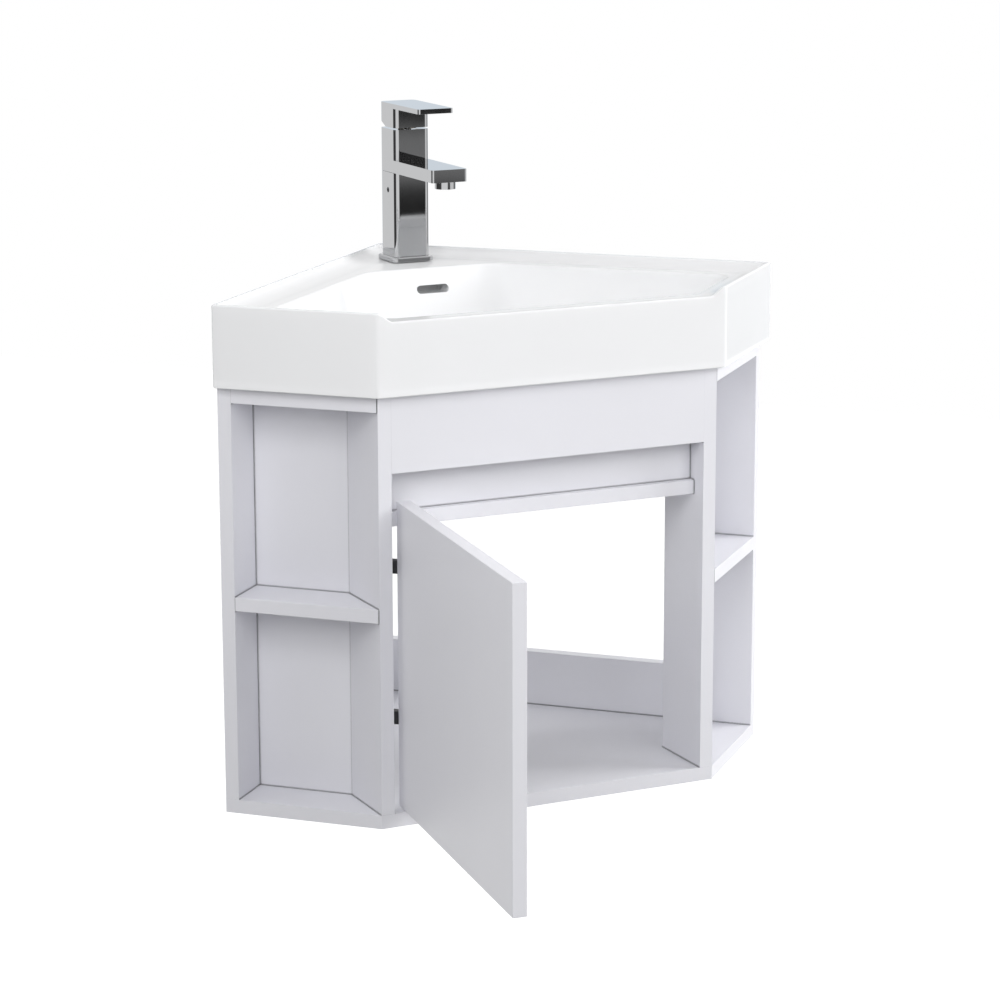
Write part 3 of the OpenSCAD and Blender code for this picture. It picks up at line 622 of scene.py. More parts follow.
def placed(mesh: bpy.types.Mesh, sharp_angle: float) -> bpy.types.Object:
    """Shades a mesh smooth up to an angle and puts it in the scene.

    Args:
        mesh: The mesh, whose name the piece takes.
        sharp_angle: Edges over this many degrees stay sharp.

    Returns:
        The piece, at the origin.
    """
    mesh.polygons.foreach_set("use_smooth", np.ones(len(mesh.polygons), dtype=bool))
    mesh.set_sharp_from_angle(angle=math.radians(sharp_angle))
    piece = bpy.data.objects.new(mesh.name, mesh)
    bpy.context.scene.collection.objects.link(piece)
    return piece


def ring_mesh(
    name: str, rings: np.ndarray, close_profile: bool = False, sharp_angle: float = 50.0
) -> bpy.types.Object:
    """Makes an object from stacked rings, with a face over each end of an open profile.

    Args:
        name: The piece's name.
        rings: Array of rings, points and coordinates, anticlockwise seen from the profile's end.
        close_profile: True makes the last ring meet the first.
        sharp_angle: Edges over this many degrees stay sharp.

    Returns:
        The object, at the origin.
    """
    rows, columns = rings.shape[:2]
    faces = grid_quads(rows, columns, close_profile).tolist()
    if not close_profile:
        faces.append(list(range(columns))[::-1])
        faces.append(list(range((rows - 1) * columns, rows * columns)))
    mesh = bpy.data.meshes.new(name)
    mesh.from_pydata(rings.reshape(-1, 3).tolist(), [], faces)
    mesh.update()
    return placed(mesh, sharp_angle)


@dataclass(frozen=True)
class Tip:
    """Front end of a piece, whose edges get a rounding of their own."""

    place: float
    width: float


def softened(
    solid: bpy.types.Object, name: str, width: float, segments: int = 2, tip: Tip | None = None
) -> bpy.types.Object:
    """Copies a CAD node's solid and rounds its edges.

    Args:
        solid: The CAD node's object.
        name: The new piece's name.
        width: Width of the rounding, in metres.
        segments: Faces across the rounding.
        tip: Where v, in metres, is less than its place, the edges have its width instead.

    Returns:
        The new piece.
    """
    work = bmesh.new()
    work.from_mesh(solid.data)
    bmesh.ops.remove_doubles(work, verts=work.verts, dist=MERGE_DISTANCE)
    bmesh.ops.dissolve_limit(
        work, angle_limit=math.radians(FLAT_ANGLE), verts=work.verts, edges=work.edges)
    tip = tip or Tip(-math.inf, width)
    widest = max(width, tip.width)
    weight = work.edges.layers.float.new("bevel_weight_edge")
    for edge in work.edges:
        if edge.calc_face_angle(0.0) > math.radians(EDGE_ANGLE):
            beyond = all((vert.co.y - vert.co.x) / ROOT2 < tip.place for vert in edge.verts)
            edge[weight] = (tip.width if beyond else width) / widest
    mesh = bpy.data.meshes.new(name)
    work.to_mesh(mesh)
    work.free()
    piece = placed(mesh, SMOOTH_ANGLE)
    bevel = piece.modifiers.new("soft_edges", "BEVEL")
    bevel.width = widest
    bevel.segments = segments
    bevel.limit_method = "WEIGHT"
    bevel.harden_normals = True
    flat = piece.modifiers.new("flat_normals", "WEIGHTED_NORMAL")
    flat.weight = 100
    flat.keep_sharp = True
    return piece


def cut_away(piece: bpy.types.Object, cutter: bpy.types.Object, sharp_angle: float) -> None:
    """Cuts one closed piece out of another and removes the cutter.

    Args:
        piece: The piece that is cut.
        cutter: The shape that is taken away.
        sharp_angle: Edges over this many degrees stay sharp.
    """
    cut = piece.modifiers.new("cut", "BOOLEAN")
    cut.operation = "DIFFERENCE"
    cut.object = cutter
    cut.solver = "EXACT"
    with bpy.context.temp_override(object=piece, active_object=piece):
        bpy.ops.object.modifier_apply(modifier=cut.name)
    bpy.data.objects.remove(cutter)
    piece.data.set_sharp_from_angle(angle=math.radians(sharp_angle))


@dataclass
class Assembly:
    """Part of the unit: dresses CAD nodes and adds pieces that ride on their bodies."""

    frame: dict
    finishes: Finishes

    def dress(self, nodes: Iterable[str], slot: Slot) -> None:
        """Gives CAD nodes their finish.

        Args:
            nodes: The nodes' names.
            slot: The finish.
        """
        for node in nodes:
            thing = self.frame["nodes"][node]
            thing.data.materials.clear()
            thing.data.materials.append(self.finishes[slot])
            LOG.info("dressed %s in %s", node, slot.value)

    def fit(
        self, piece: bpy.types.Object, body: Body, slot: Slot, replaces: Sequence[str] = ()
    ) -> None:
        """Dresses a new piece and lets it ride on a body.

        Args:
            piece: The piece.
            body: The body that it moves with.
            slot: Its finish.
            replaces: CAD nodes that it stands for.
        """
        piece.data.materials.clear()
        piece.data.materials.append(self.finishes[slot])
        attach(piece, body.value)
        if replaces:
            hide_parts(*replaces)
        LOG.info("made %s on %s: %d points", piece.name, body.value, len(piece.data.vertices))


# ---------------------------------------------------------------------------
# Cabinet


@dataclass
class Cabinet(Assembly):
    """Boards, rails and their fixings."""

    edge_radius: float = 0.8 * MM
    boards: tuple[str, ...] = (
        "bottom_panel", "left_wall_panel", "right_wall_panel", "left_divider", "right_divider",
        "left_niche_back", "right_niche_back", "left_niche_top", "right_niche_top",
        "left_shelf", "right_shelf", "fascia", "channel_back", "channel_rail",
        "left_bottom_rail", "right_bottom_rail", "left_hanging_rail", "right_hanging_rail",
    )

    def build(self) -> None:
        """Softens and dresses every board and dresses the fixings."""
        for node in self.boards:
            piece = softened(self.frame["nodes"][node], f"{node}_board", self.edge_radius)
            self.fit(piece, Body.CABINET, Slot.LAMINATE, [node])
        self.dress(["carcass_dowels"], Slot.DOWEL)
        self.dress(["bottom_screws"], Slot.HINGE_STEEL)


@dataclass
class Door(Assembly):
    """Door board, hinge parts and buffers."""

    edge_radius: float = 0.8 * MM

    def build(self) -> None:
        """Softens and dresses the door and its hinges."""
        piece = softened(self.frame["nodes"]["door"], "door_board", self.edge_radius)
        self.fit(piece, Body.DOOR, Slot.LAMINATE, ["door"])
        self.dress(
            ["upper_hinge_cup", "lower_hinge_cup", "hinge_cup_screws", "hinge_plates",
             "hinge_plate_screws", "hinge_arm_screws"],
            Slot.HINGE_STEEL,
        )
        self.dress(["upper_hinge_arm", "lower_hinge_arm"], Slot.HINGE_BLACK)
        self.dress(["door_bumpers"], Slot.CLEAR_RUBBER)


# ---------------------------------------------------------------------------
# Basin


@dataclass(frozen=True)
class SetIn:
    """Distances of a six-sided outline from the basin's edges, and its corner radii."""

    wall: float
    side: float
    front: float
    back: float
    side_radius: float
    front_radius: float
    back_radius: float


@dataclass(frozen=True)
class Cove:
    """How far the tray's edge runs in from the rim on each side, and how its corners grow."""

    wall: float = 30.0
    side: float = 24.0
    front: float = 14.0
    back: float = 6.0
    radius: float = 6.0
    radius_growth: float = 10.0
    back_growth: float = 8.0
    first_angle: float = 6.0


@dataclass(frozen=True)
class WasteSeat:
    """Recess and hole that the waste sits in, and the boss round them under the bowl."""

    radius: float = 33.0
    edge: float = 0.6
    draft: float = 0.2
    depth: float = 4.5
    hole_radius: float = 23.0
    bevel_width: float = 0.4
    bevel_depth: float = 0.5
    boss_radius: float = 37.0
    boss_depth: float = 24.0


@dataclass(frozen=True)
class RingCounts:
    """Rings over each stretch of the basin's section."""

    foot: int = 5
    rim: int = 7
    inner_edge: int = 5
    cove: int = 13
    lip: int = 8
    bowl: int = 40
    floor: int = 12
    shell: int = 24
    fillet: int = 5


@dataclass
class Basin(Assembly):
    """Ceramic corner basin: one closed ring surface with the overflow slot cut through it.

    Sizes are in millimetres, in the front frame: u to the right and v towards the room corner.
    """

    leg: float = 500.0
    side: float = 195.7
    underside_z: float = 492.0
    rim: float = 585.0
    rim_step: float = 10.0
    bowl_depth: float = 115.0
    waste_v: float = -311.0
    notch_half: float = 195.5
    notch_run: float = 19.0
    fall_depth: float = 40.0
    skirt: float = 20.0
    foot_middle: float = 8.0
    shell: float = 9.0
    deck_thickness: float = 12.0
    under_fillet: float = 6.0
    rim_width: float = 4.0
    ring_gap: float = 0.02
    lip: float = 4.0
    floor_fall: float = 4.0
    wall_lean: float = 100.0
    side_lean: float = 140.0
    side_slope: float = 40.0
    back_lean: float = 70.0
    back_slope: float = 30.0
    edge_low: float = 1.5
    edge_high: float = 2.2
    edge_inner: float = 0.9
    front_radius: float = 6.0
    wing_radius: float = 2.5
    inner_wing_radius: float = 3.0
    slot_width: float = 41.5
    slot_height: float = 9.5
    slot_z: float = 550.5
    slot_into_duct: float = 2.0
    slot_past_wall: float = 30.0
    casing_width: float = 58.0
    casing_height: float = 25.0
    casing_front: float = -156.5
    casing_back: float = -123.0
    casing_radius: float = 4.0
    casing_overlap: float = 1.0
    duct_width: float = 44.0
    duct_front: float = -145.0
    duct_back: float = -130.0
    duct_low: float = 7.0
    duct_high: float = 16.0
    duct_over_slot: float = 9.0
    duct_radius: float = 2.0
    sharp_angle: float = 40.0
    apron_shares: tuple[float, ...] = (0.1, 0.35, 0.6, 0.85)
    inner_edge_end: float = 25.0
    slot_end_points: int = 17
    bar_corner_points: int = 6
    arc_points: int = 11
    side_steps: int = 25
    front_steps: int = 141
    bowl: SetIn = SetIn(51.5, 36.5, 24.0, 155.0, 20.0, 26.0, 60.0)
    cove: Cove = Cove()
    seat: WasteSeat = WasteSeat()
    counts: RingCounts = RingCounts()

    @property
    def front(self) -> float:
        """Distance of the front plane from the room corner."""
        return (self.leg + self.side) / ROOT2

    @property
    def deck(self) -> float:
        """Height of the deck."""
        return self.rim - self.rim_step

    @property
    def floor(self) -> float:
        """Height of the bowl's lowest point."""
        return self.deck - self.bowl_depth

    def arc(self, corner: Sequence[float], turn_in: float, turn_out: float, radius: float) -> np.ndarray:
        """Rounds one corner of an outline.

        The arc's centre stands off the corner by radius * tan(half the turn) along the incoming
        side and by the radius to its left; its points run from turn_in - 90 to turn_out - 90 degrees.

        Args:
            corner: The sharp corner.
            turn_in: Direction of the side that comes in, in degrees.
            turn_out: Direction of the side that goes out, in degrees.
            radius: Radius of the rounding.

        Returns:
            Points along the arc.
        """
        a, half = math.radians(turn_in), math.radians(turn_out - turn_in) / 2
        back = radius * math.tan(half)
        centre = np.array(corner) + [
            -back * math.cos(a) - radius * math.sin(a),
            -back * math.sin(a) + radius * math.cos(a),
        ]
        angles = np.radians(np.linspace(turn_in - 90, turn_out - 90, self.arc_points))
        return centre + radius * np.stack([np.cos(angles), np.sin(angles)], axis=-1)

    def outline(self, inset: SetIn) -> np.ndarray:
        """Six-sided outline with rounded corners, anticlockwise from the front left corner.

        The sides are lines at the given distances from the basin's own edges: walls along the two
        legs, side faces square to them, the front, and a line across the back corner. Straight
        stretches are filled with evenly spaced points, the front with points that crowd
        towards its ends as the sine of an even step does.

        Args:
            inset: Distances and radii.

        Returns:
            Points in the front frame, in millimetres.
        """
        v_front = -(self.front - inset.front)
        u_front = v_front + (self.leg - inset.side) * ROOT2
        u_side = (self.leg - inset.side - inset.wall) / ROOT2
        v_side = -(self.leg - inset.side + inset.wall) / ROOT2
        u_back = inset.back - inset.wall * ROOT2
        arcs = [
            self.arc((-u_front, v_front), -45, 0, inset.front_radius),
            self.arc((u_front, v_front), 0, 45, inset.front_radius),
            self.arc((u_side, v_side), 45, 135, inset.side_radius),
            self.arc((u_back, -inset.back), 135, 180, inset.back_radius),
            self.arc((-u_back, -inset.back), 180, 225, inset.back_radius),
            self.arc((-u_side, v_side), 225, 315, inset.side_radius),
        ]
        even = np.linspace(0, 1, self.side_steps + 1)[1:-1, None]
        along = np.linspace(0, 1, self.front_steps + 1)[1:-1, None]
        crowded = (1 + np.sin(np.pi * (along - 0.5))) / 2
        run = []
        for k, arc in enumerate(arcs):
            step = crowded if k == 0 else even
            start, end = arc[-1], arcs[(k + 1) % len(arcs)][0]
            run += [arc, start + (end - start) * step]
        return np.concatenate(run)

    def rim_height(self, outline: np.ndarray) -> np.ndarray:
        """Height of the rim over each point: it falls to the deck along the front.

        Between the half widths notch_half and notch_half + notch_run the height follows half a
        cosine wave from the deck to the rim.

        Args:
            outline: Points in the front frame.

        Returns:
            One height a point.
        """
        t = np.clip((np.abs(outline[:, 0]) - self.notch_half) / self.notch_run, 0, 1)
        fallen = self.deck + self.rim_step * (1 - np.cos(np.pi * t)) / 2
        return np.where(outline[:, 1] < -self.front + self.fall_depth, fallen, self.rim)

    def even_inset(self, i: float, wing_radius: float | None = None) -> SetIn:
        """The same distance from every edge.

        Args:
            i: The distance.
            wing_radius: Radius at the ends of the walls; without it that of the outer edge.

        Returns:
            Distances and radii, with the front's and the room corner's radius the same.
        """
        radius = self.front_radius
        wing = self.wing_radius if wing_radius is None else wing_radius
        back = i * ROOT2 + radius * math.tan(math.pi / 8)
        return SetIn(i, i, i, back, wing, radius, radius)

    def cove_inset(self, angle: float) -> SetIn:
        """Set-in of the coved tray edge: wide at the walls and narrow at the front.

        Args:
            angle: 0 at the rim and 90 at the deck, in degrees.

        Returns:
            Distances that grow as 1 - cos(angle).
        """
        c = 1 - math.cos(math.radians(angle))
        i, cove = self.rim_width, self.cove
        wall = i + cove.wall * c
        back = wall * ROOT2 + cove.radius * math.tan(math.pi / 8) + cove.back * c
        radius = cove.radius + cove.radius_growth * c
        return SetIn(wall, i + cove.side * c, i + cove.front * c, back,
                     radius, radius, cove.radius + cove.back_growth * c)

    def bowl_inset(self, angle: float, thickness: float = 0.0) -> SetIn:
        """Set-in of the bowl's elliptic wall.

        Walls move in by lean * (1 - cos(angle)), the side lobes and the back by ellipses of their
        own plus slope * sin(angle), and the outer skin stands off by thickness * cos(angle).

        Args:
            angle: 0 at the lip and 90 at the floor, in degrees.
            thickness: Distance of the skin outside the wall.

        Returns:
            Distances and radii.
        """
        a, bowl = math.radians(angle), self.bowl
        lean, off = 1 - math.cos(a), thickness * math.cos(a)
        i = self.wall_lean * lean - off
        side = self.side_lean * lean + self.side_slope * math.sin(a) - off
        back = self.back_lean * lean + self.back_slope * math.sin(a) - off
        return SetIn(bowl.wall + i, bowl.side + side, bowl.front + i, bowl.back + back,
                     bowl.side_radius, bowl.front_radius, bowl.back_radius - angle / 3)

    def bowl_height(self, angle: float, thickness: float = 0.0) -> float:
        """Height of the bowl's wall at an angle of its ellipse: the drop times sin(angle)."""
        drop = self.bowl_depth - self.lip - self.floor_fall + thickness
        return self.deck - self.lip - drop * math.sin(math.radians(angle))

    def ring(self, inset: SetIn, height: float | Callable[[np.ndarray], np.ndarray]) -> np.ndarray:
        """One ring: an outline at a fixed height or at a height that follows the rim.

        Args:
            inset: The outline.
            height: A height, or a function of the rim's height over each point.

        Returns:
            Points with u, v, z in millimetres.
        """
        outline = self.outline(inset)
        z = height(self.rim_height(outline)) if callable(height) else np.full(len(outline), height)
        return np.column_stack([outline, z])

    def outside(self) -> list[np.ndarray]:
        """Rings from under the skirt up the apron and over the rim.

        Roundings are quarter circles: inset r * (1 - cos a) with height r * sin a.

        Returns:
            The rings.
        """
        low, over, inner = self.edge_low, self.edge_high, self.edge_inner
        under, counts = self.underside_z, self.counts
        rings = [self.ring(self.even_inset(self.skirt, self.inner_wing_radius), under)]
        rings.append(self.ring(self.even_inset(self.foot_middle), under))
        for a in np.radians(np.linspace(-90, 0, counts.foot)):
            inset = self.even_inset(low * (1 - math.cos(a)))
            rings.append(self.ring(inset, under + low * (1 + math.sin(a))))
        for share in self.apron_shares:
            rings.append(self.ring(
                self.even_inset(0.0),
                lambda rim, share=share: under + low + (rim - over - under - low) * share))
        for a in np.radians(np.linspace(0, 90, counts.rim)):
            rings.append(self.ring(
                self.even_inset(over * (1 - math.cos(a))),
                lambda rim, a=a: rim - over * (1 - math.sin(a))))
        for a in np.radians(np.linspace(90, self.inner_edge_end, counts.inner_edge)):
            share = 1 - math.sin(a)
            rings.append(self.ring(
                self.even_inset(self.rim_width - inner * share - self.ring_gap),
                lambda rim, share=share: rim - inner * share * (rim - self.deck) / self.rim_step))
        return rings

    def tray(self) -> list[np.ndarray]:
        """Rings down the cove and across the deck to the bowl's lip.

        The cove's height above the deck is the rim's step times 1 - sin(angle).

        Returns:
            The rings.
        """
        rings = []
        for angle in np.linspace(self.cove.first_angle, 90, self.counts.cove):
            drop = 1 - math.sin(math.radians(angle))
            rings.append(self.ring(
                self.cove_inset(angle),
                lambda rim, drop=drop: self.deck + (rim - self.deck) * drop))
        return rings

    def bowl_rings(self) -> list[np.ndarray]:
        """Rings over the lip, down the bowl's wall and in to the waste's seat.

        The lip is a quarter circle. The floor goes in even steps from the wall's last ring to the
        seat, and its height above the seat falls with the square of the way that is left.

        Returns:
            The rings.
        """
        bowl, lip, counts = self.bowl, self.lip, self.counts
        rings = []
        for a in np.radians(np.linspace(0, 90, counts.lip)):
            i = lip * (math.sin(a) - 1)
            inset = SetIn(bowl.wall + i, bowl.side + i, bowl.front + i, bowl.back + i,
                          bowl.side_radius, bowl.front_radius, bowl.back_radius)
            rings.append(self.ring(inset, self.deck - lip * (1 - math.cos(a))))
        for angle in np.linspace(0, 90, counts.bowl)[1:]:
            rings.append(self.ring(self.bowl_inset(angle), self.bowl_height(angle)))
        seat = self.round_waste(self.seat.radius)
        last = rings[-1]
        for t in np.linspace(0, 1, counts.floor)[1:]:
            ring = last + (seat - last) * t
            ring[:, 2] = self.floor + self.floor_fall * (1 - t) ** 2
            rings.append(ring)
        return rings

    def round_waste(self, radius: float, z: float = 0.0) -> np.ndarray:
        """Circle round the waste whose points lie in line with those of the bowl's floor.

        Args:
            radius: The circle's radius.
            z: Its height.

        Returns:
            Points with u, v, z in millimetres.
        """
        floor = self.outline(self.bowl_inset(90.0))
        angle = np.arctan2(floor[:, 1] - self.waste_v, floor[:, 0])
        u, v = radius * np.cos(angle), self.waste_v + radius * np.sin(angle)
        return np.column_stack([u, v, np.full(len(angle), z)])

    def underside(self) -> list[np.ndarray]:
        """Rings through the waste's hole and back out under bowl and deck to the skirt.

        Returns:
            The rings.
        """
        shell, floor, seat = self.shell, self.floor, self.seat
        low, under = floor - seat.depth, floor - seat.boss_depth
        profile = (
            (seat.radius, floor - seat.edge), (seat.radius - seat.draft, low),
            (seat.hole_radius + seat.bevel_width, low), (seat.hole_radius, low - seat.bevel_depth),
            (seat.hole_radius, under), (seat.boss_radius, under),
            (seat.boss_radius, floor - shell - self.casing_overlap),
        )
        rings = [self.round_waste(radius, z) for radius, z in profile]
        for angle in np.linspace(90, 0, self.counts.shell):
            rings.append(self.ring(self.bowl_inset(angle, shell), self.bowl_height(angle, shell)))
        deck_under, fillet = self.deck - self.deck_thickness, self.under_fillet
        wing = self.inner_wing_radius
        rings.append(self.ring(self.bowl_inset(0.0, shell), deck_under))
        rings.append(self.ring(self.even_inset(self.skirt + fillet, wing), deck_under))
        for a in np.radians(np.linspace(90, 0, self.counts.fillet)):
            rings.append(self.ring(self.even_inset(self.skirt + fillet * (1 - math.cos(a)), wing),
                                   deck_under - fillet * (1 - math.sin(a))))
        return rings

    def body(self) -> bpy.types.Object:
        """The whole ceramic body as one closed surface, with the overflow slot cut.

        Returns:
            The piece.
        """
        rings = np.array(self.outside() + self.tray() + self.bowl_rings() + self.underside())
        body = ring_mesh("basin_ceramic", front_to_row(rings) * MM, True, self.sharp_angle)
        cut_away(body, self.slot_cutter(), self.sharp_angle)
        return body

    def slot_cutter(self) -> bpy.types.Object:
        """Long rounded bar that cuts the overflow slot through the bowl's back wall.

        Its section is a slot with round ends, and it runs along v.

        Returns:
            The bar.
        """
        half, radius = self.slot_width / 2, self.slot_height / 2
        angles = np.radians(np.linspace(-90, 90, self.slot_end_points))
        right = np.column_stack([half - radius + radius * np.cos(angles), radius * np.sin(angles)])
        section = np.concatenate([right, -right])
        stops = (self.duct_front + self.slot_into_duct, self.casing_front - self.slot_past_wall)
        rings = np.stack([
            np.column_stack([section[:, 0], np.full(len(section), v), self.slot_z + section[:, 1]])
            for v in stops
        ])
        return ring_mesh("slot_cutter", front_to_row(rings) * MM)

    def bent_bar(
        self,
        name: str,
        half: float,
        near: Sequence[float],
        far: Sequence[float],
        top: float,
        radius: float,
    ) -> bpy.types.Object:
        """Bar of rounded section that runs back under the bowl and turns up behind it.

        A rounded rectangle is carried along three lines in the v, z plane, of which the middle
        one is the mitre of the bend: each point is the inner end plus the depth's share of the
        way to the outer end.

        Args:
            name: The piece's name.
            half: Half its width.
            near: v of the upright's front and z of the run's top.
            far: v of the upright's back and z of the run's underside.
            top: Height of the upright's end.
            radius: Rounding of the section, squeezed as the bar's depth is to the casing's.

        Returns:
            The piece.
        """
        a = np.radians(np.linspace(0, 90, self.bar_corner_points))
        quarter = np.stack([np.cos(a), np.sin(a)], axis=-1)
        signs = ((1, 1), (-1, 1), (-1, -1), (1, -1))
        turns = [quarter[::su * sv] * (su, sv) for su, sv in signs]
        centre = np.repeat(signs, len(a), axis=0)
        section = centre * [half - radius, 0.5 - radius / self.casing_height]
        section = section + np.concatenate(turns) * [radius, radius / self.casing_height]
        share = section[:, 1:] + 0.5
        inner = ((self.waste_v, near[1]), near, (near[0], top))
        outer = ((self.waste_v, far[1]), far, (far[0], top))
        rings = [
            np.column_stack([section[:, :1], np.array(start) * (1 - share) + np.array(end) * share])
            for start, end in zip(inner, outer)
        ]
        return ring_mesh(name, front_to_row(np.stack(rings)) * MM)

    def casing(self) -> bpy.types.Object:
        """Overflow casing with its duct, open at the slot.

        Returns:
            The piece.
        """
        high = self.floor + self.casing_overlap
        low = high - self.casing_height
        casing = self.bent_bar(
            "basin_overflow_casing", self.casing_width / 2, (self.casing_front, high),
            (self.casing_back, low), self.deck - self.deck_thickness + self.casing_overlap,
            self.casing_radius)
        duct = self.bent_bar(
            "duct_cutter", self.duct_width / 2, (self.duct_front, low + self.duct_high),
            (self.duct_back, low + self.duct_low), self.slot_z + self.duct_over_slot,
            self.duct_radius)
        for cutter in (duct, self.slot_cutter()):
            cut_away(casing, cutter, self.sharp_angle)
        return casing

    def build(self) -> None:
        """Makes the basin's body and its overflow casing."""
        self.fit(self.body(), Body.CABINET, Slot.CERAMIC, ["basin"])
        self.fit(self.casing(), Body.CABINET, Slot.CERAMIC)


@dataclass
class Waste(Assembly):
    """Waste under the bowl."""

    def build(self) -> None:
        """Dresses the waste's parts."""
        self.dress(["waste_body", "waste_plug"], Slot.CHROME)
        self.dress(["waste_nut"], Slot.BRASS)
        self.dress(["waste_top_seal", "waste_bottom_seal"], Slot.BLACK_RUBBER)


# ---------------------------------------------------------------------------
# Tap


@dataclass
class Tap(Assembly):
    """Square lever tap."""

    edge_radius: float = 0.8 * MM
    plate_radius: float = 1.6 * MM
    spout_radius: float = 1.8 * MM
    lever_radius: float = 1.0 * MM
    tip_from: float = -0.120
    segments: int = 4

    def build(self) -> None:
        """Softens the outer parts and dresses the inner ones."""
        for node, body, width, tip_width in (
            ("tap_base_plate", Body.CABINET, self.plate_radius, self.plate_radius),
            ("tap_column", Body.CABINET, self.edge_radius, self.edge_radius),
            ("tap_head", Body.CABINET, self.edge_radius, self.spout_radius),
            ("tap_handle", Body.LEVER, self.edge_radius, self.lever_radius),
        ):
            piece = softened(self.frame["nodes"][node], f"{node}_chromed", width, self.segments,
                             Tip(self.tip_from, tip_width))
            self.fit(piece, body, Slot.CHROME, [node])
        self.dress(["tap_aerator"], Slot.CHROME)
        self.dress(["cartridge_nut", "supply_pipes", "tap_nut"], Slot.BRASS)
        self.dress(
            ["tap_stud", "tap_clamp_washer", "rotor_pin", "cartridge_stem"], Slot.SCREW_STEEL
        )
        self.dress(["column_screw", "handle_screw"], Slot.SET_SCREW)
        self.dress(["tap_cartridge", "cartridge_rotor"], Slot.ACETAL)
        self.dress(["tap_gasket"], Slot.BLACK_RUBBER)


# ---------------------------------------------------------------------------
# Studio


@dataclass(frozen=True)
class Softbox:
    """Square soft lamp that lights surfaces and isn't seen in gloss.

    Its place is an azimuth from +X and an elevation, in degrees, and a distance in metres, all
    from the middle of the unit.
    """

    name: str
    azimuth: float
    elevation: float
    power: float
    distance: float = 2.6
    side: float = 1.4


@dataclass(frozen=True)
class Screens:
    """What gloss sees by direction: white screens with dark gaps, a ceiling and a floor.

    Heights are the z of a direction of length 1, and azimuths are in degrees from +X.
    """

    ceiling_from: float = 0.134
    ceiling: Colour = (0.87, 0.87, 0.875)
    floor_from: float = -0.45
    floor: Colour = (0.95, 0.95, 0.95)
    strip: tuple[float, float] = (-0.124, -0.107)
    ceiling_blur: float = 0.006
    floor_blur: float = 0.2
    strip_blur: float = 0.001
    strip_gap: float = 0.25
    gap: float = 0.02
    cool: Colour = (0.74, 0.81, 0.88)

    def stops(self, gap: float) -> list[tuple[float, Colour]]:
        """Ramp stops round the horizon: azimuth from -180 to 180 degrees as 0 to 1.

        Args:
            gap: Level of the wide gap to the front.

        Returns:
            Places and colours.
        """
        levels = (
            (-180, 0.1), (-176, 0.05), (-116, 0.08), (-108, 1.0), (-46, 1.0), (-38, gap),
            (-16, gap), (-10, 0.9), (30, 0.9), (44, 0.2), (72, 0.25), (84, self.cool),
            (140, self.cool), (150, 0.92), (168, 0.92), (176, 0.15), (180, 0.1),
        )
        return [((azimuth + 180) / 360, level if isinstance(level, tuple) else shade(WHITE, level))
                for azimuth, level in levels]

    def colour(self, graph: Graph, towards: bpy.types.NodeSocket) -> bpy.types.NodeSocket:
        """Colour that gloss sees: the screens, with the ceiling and the floor over and under them.

        Args:
            graph: The world's graph.
            towards: The direction.

        Returns:
            The colour's socket.
        """
        x, y, z = graph.parts(towards)
        round_horizon = y.angle_with(x) / (2 * math.pi) + 0.5
        low, high = self.strip
        strip = z.above(low, self.strip_blur) * (1.0 - z.above(high, self.strip_blur))
        screens = graph.blend(strip, graph.ramp(round_horizon, self.stops(self.gap)),
                              graph.ramp(round_horizon, self.stops(self.strip_gap)))
        ceiling = z.above(self.ceiling_from, self.ceiling_blur)
        floor = (0.0 - z).above(-self.floor_from, self.floor_blur)
        return graph.blend(floor, graph.blend(ceiling, screens, self.ceiling), self.floor)


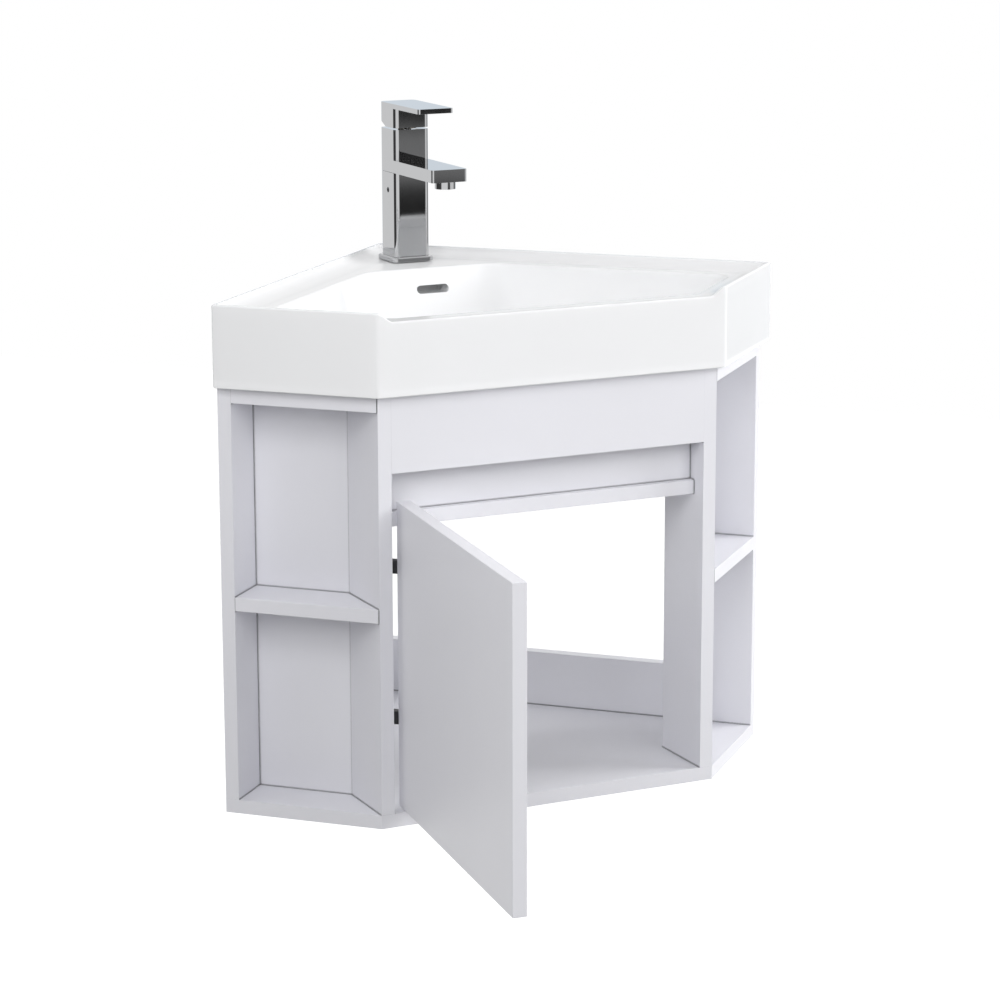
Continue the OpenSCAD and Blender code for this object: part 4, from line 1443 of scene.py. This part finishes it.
@dataclass
class Studio:
    """Camera, floor and light."""

    camera_place: tuple[float, float, float] = (1.4502, -3.6603, 1.1509)
    azimuth: float = 19.4378
    elevation: float = 12.7798
    roll: float = -0.1213
    lens: float = 115.355
    floor_z: float = -0.8
    floor_half: float = 6.0
    floor_grey: float = 0.6
    floor_glow: float = 0.92
    middle: tuple[float, float, float] = (0.25, -0.25, 0.35)
    sky: float = 0.24
    ground: float = 0.15
    horizon_blur: float = 0.4
    screens: Screens = Screens()
    boxes: tuple[Softbox, ...] = (
        Softbox("right_box", 30.0, 20.0, 53.0),
        Softbox("middle_box", -30.0, 20.0, 18.0),
        Softbox("front_box", -85.0, 30.0, 28.0),
        Softbox("left_box", -150.0, 35.0, 10.0),
        Softbox("back_box", 150.0, 60.0, 12.0),
    )

    def camera(self) -> None:
        """Stands the camera at the photograph's place and angle."""
        a, e, r = (math.radians(x) for x in (self.azimuth, self.elevation, self.roll))
        back = Vector((math.sin(a) * math.cos(e), -math.cos(a) * math.cos(e), math.sin(e)))
        right = Vector((math.cos(a), math.sin(a), 0))
        up = back.cross(right)
        turned_right = math.cos(r) * right + math.sin(r) * up
        turned_up = back.cross(turned_right)
        data = bpy.data.cameras.new("camera")
        data.lens = self.lens
        data.sensor_width = 36.0
        data.clip_end = 100.0
        camera = bpy.data.objects.new("camera", data)
        turn = Matrix((turned_right, turned_up, back)).transposed().to_4x4()
        camera.matrix_world = Matrix.Translation(self.camera_place) @ turn
        bpy.context.scene.collection.objects.link(camera)
        bpy.context.scene.camera = camera

    def floor(self) -> None:
        """Lays a plain pale floor that is white to the camera and in gloss and keeps the shadow."""
        h, z = self.floor_half, self.floor_z
        corners = [(-h, -h, z), (h, -h, z), (h, h, z), (-h, h, z)]
        mesh = bpy.data.meshes.new("floor")
        mesh.from_pydata(corners, [], [(0, 1, 2, 3)])
        floor = bpy.data.objects.new("floor", mesh)
        bpy.context.scene.collection.objects.link(floor)
        material, graph = Graph.of_material("floor_paper")
        grey = {"Color": shade(WHITE, self.floor_grey)}
        diffuse = graph.add("ShaderNodeBsdfDiffuse", None, grey)
        glow = {"Color": WHITE, "Strength": self.floor_glow}
        white = graph.add("ShaderNodeEmission", None, glow)
        both = graph.add("ShaderNodeAddShader", None, {0: diffuse.outputs[0], 1: white.outputs[0]})
        mixed = graph.add("ShaderNodeMixShader", None,
                          {0: graph.seen(), 1: diffuse.outputs[0], 2: both.outputs[0]})
        graph.add("ShaderNodeOutputMaterial", None, {"Surface": mixed.outputs[0]})
        mesh.materials.append(material)

    def world(self) -> None:
        """Lights the object softly from all round, shows gloss the screens and the camera white."""
        world = bpy.data.worlds.new("studio")
        bpy.context.scene.world = world
        world.use_nodes = True
        graph = Graph(world.node_tree)
        towards = graph.add("ShaderNodeTexCoord").outputs["Generated"]
        up = graph.parts(towards)[2].above(0.0, self.horizon_blur)
        colour = graph.blend(up, shade(WHITE, self.ground), shade(WHITE, self.sky))
        path = graph.add("ShaderNodeLightPath")
        for ray, seen in (
            ("Is Glossy Ray", self.screens.colour(graph, towards)),
            ("Is Transmission Ray", WHITE),
            ("Is Camera Ray", WHITE),
        ):
            colour = graph.blend(Field(graph, path.outputs[ray]), colour, seen)
        light = graph.add("ShaderNodeBackground", None, {"Color": colour, "Strength": 1.0})
        graph.add("ShaderNodeOutputWorld", None, {"Surface": light.outputs[0]})

    def lamp(self, box: Softbox) -> None:
        """Stands one soft lamp and turns it to the middle of the unit.

        Args:
            box: Its place, size and power.
        """
        a, e = math.radians(box.azimuth), math.radians(box.elevation)
        way = Vector((math.cos(a) * math.cos(e), math.sin(a) * math.cos(e), math.sin(e)))
        data = bpy.data.lights.new(box.name, "AREA")
        data.size = box.side
        data.energy = box.power
        lamp = bpy.data.objects.new(box.name, data)
        lamp.location = Vector(self.middle) + box.distance * way
        lamp.rotation_mode = "QUATERNION"
        lamp.rotation_quaternion = way.to_track_quat("Z", "Y")
        lamp.visible_glossy = False
        bpy.context.scene.collection.objects.link(lamp)

    def build(self) -> None:
        """Sets the whole studio."""
        self.camera()
        self.floor()
        self.world()
        for box in self.boxes:
            self.lamp(box)
        bpy.context.scene.view_settings.view_transform = "Standard"
        LOG.info("studio set with %d soft lamps", len(self.boxes))


def main() -> None:
    """Builds the unit and the studio."""
    logging.basicConfig(level=logging.INFO, format="%(name)s: %(message)s")
    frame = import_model()
    finishes = Finishes()
    for part in (Cabinet, Door, Basin, Waste, Tap):
        part(frame, finishes).build()
    Studio().build()


if __name__ == "__main__":
    main()
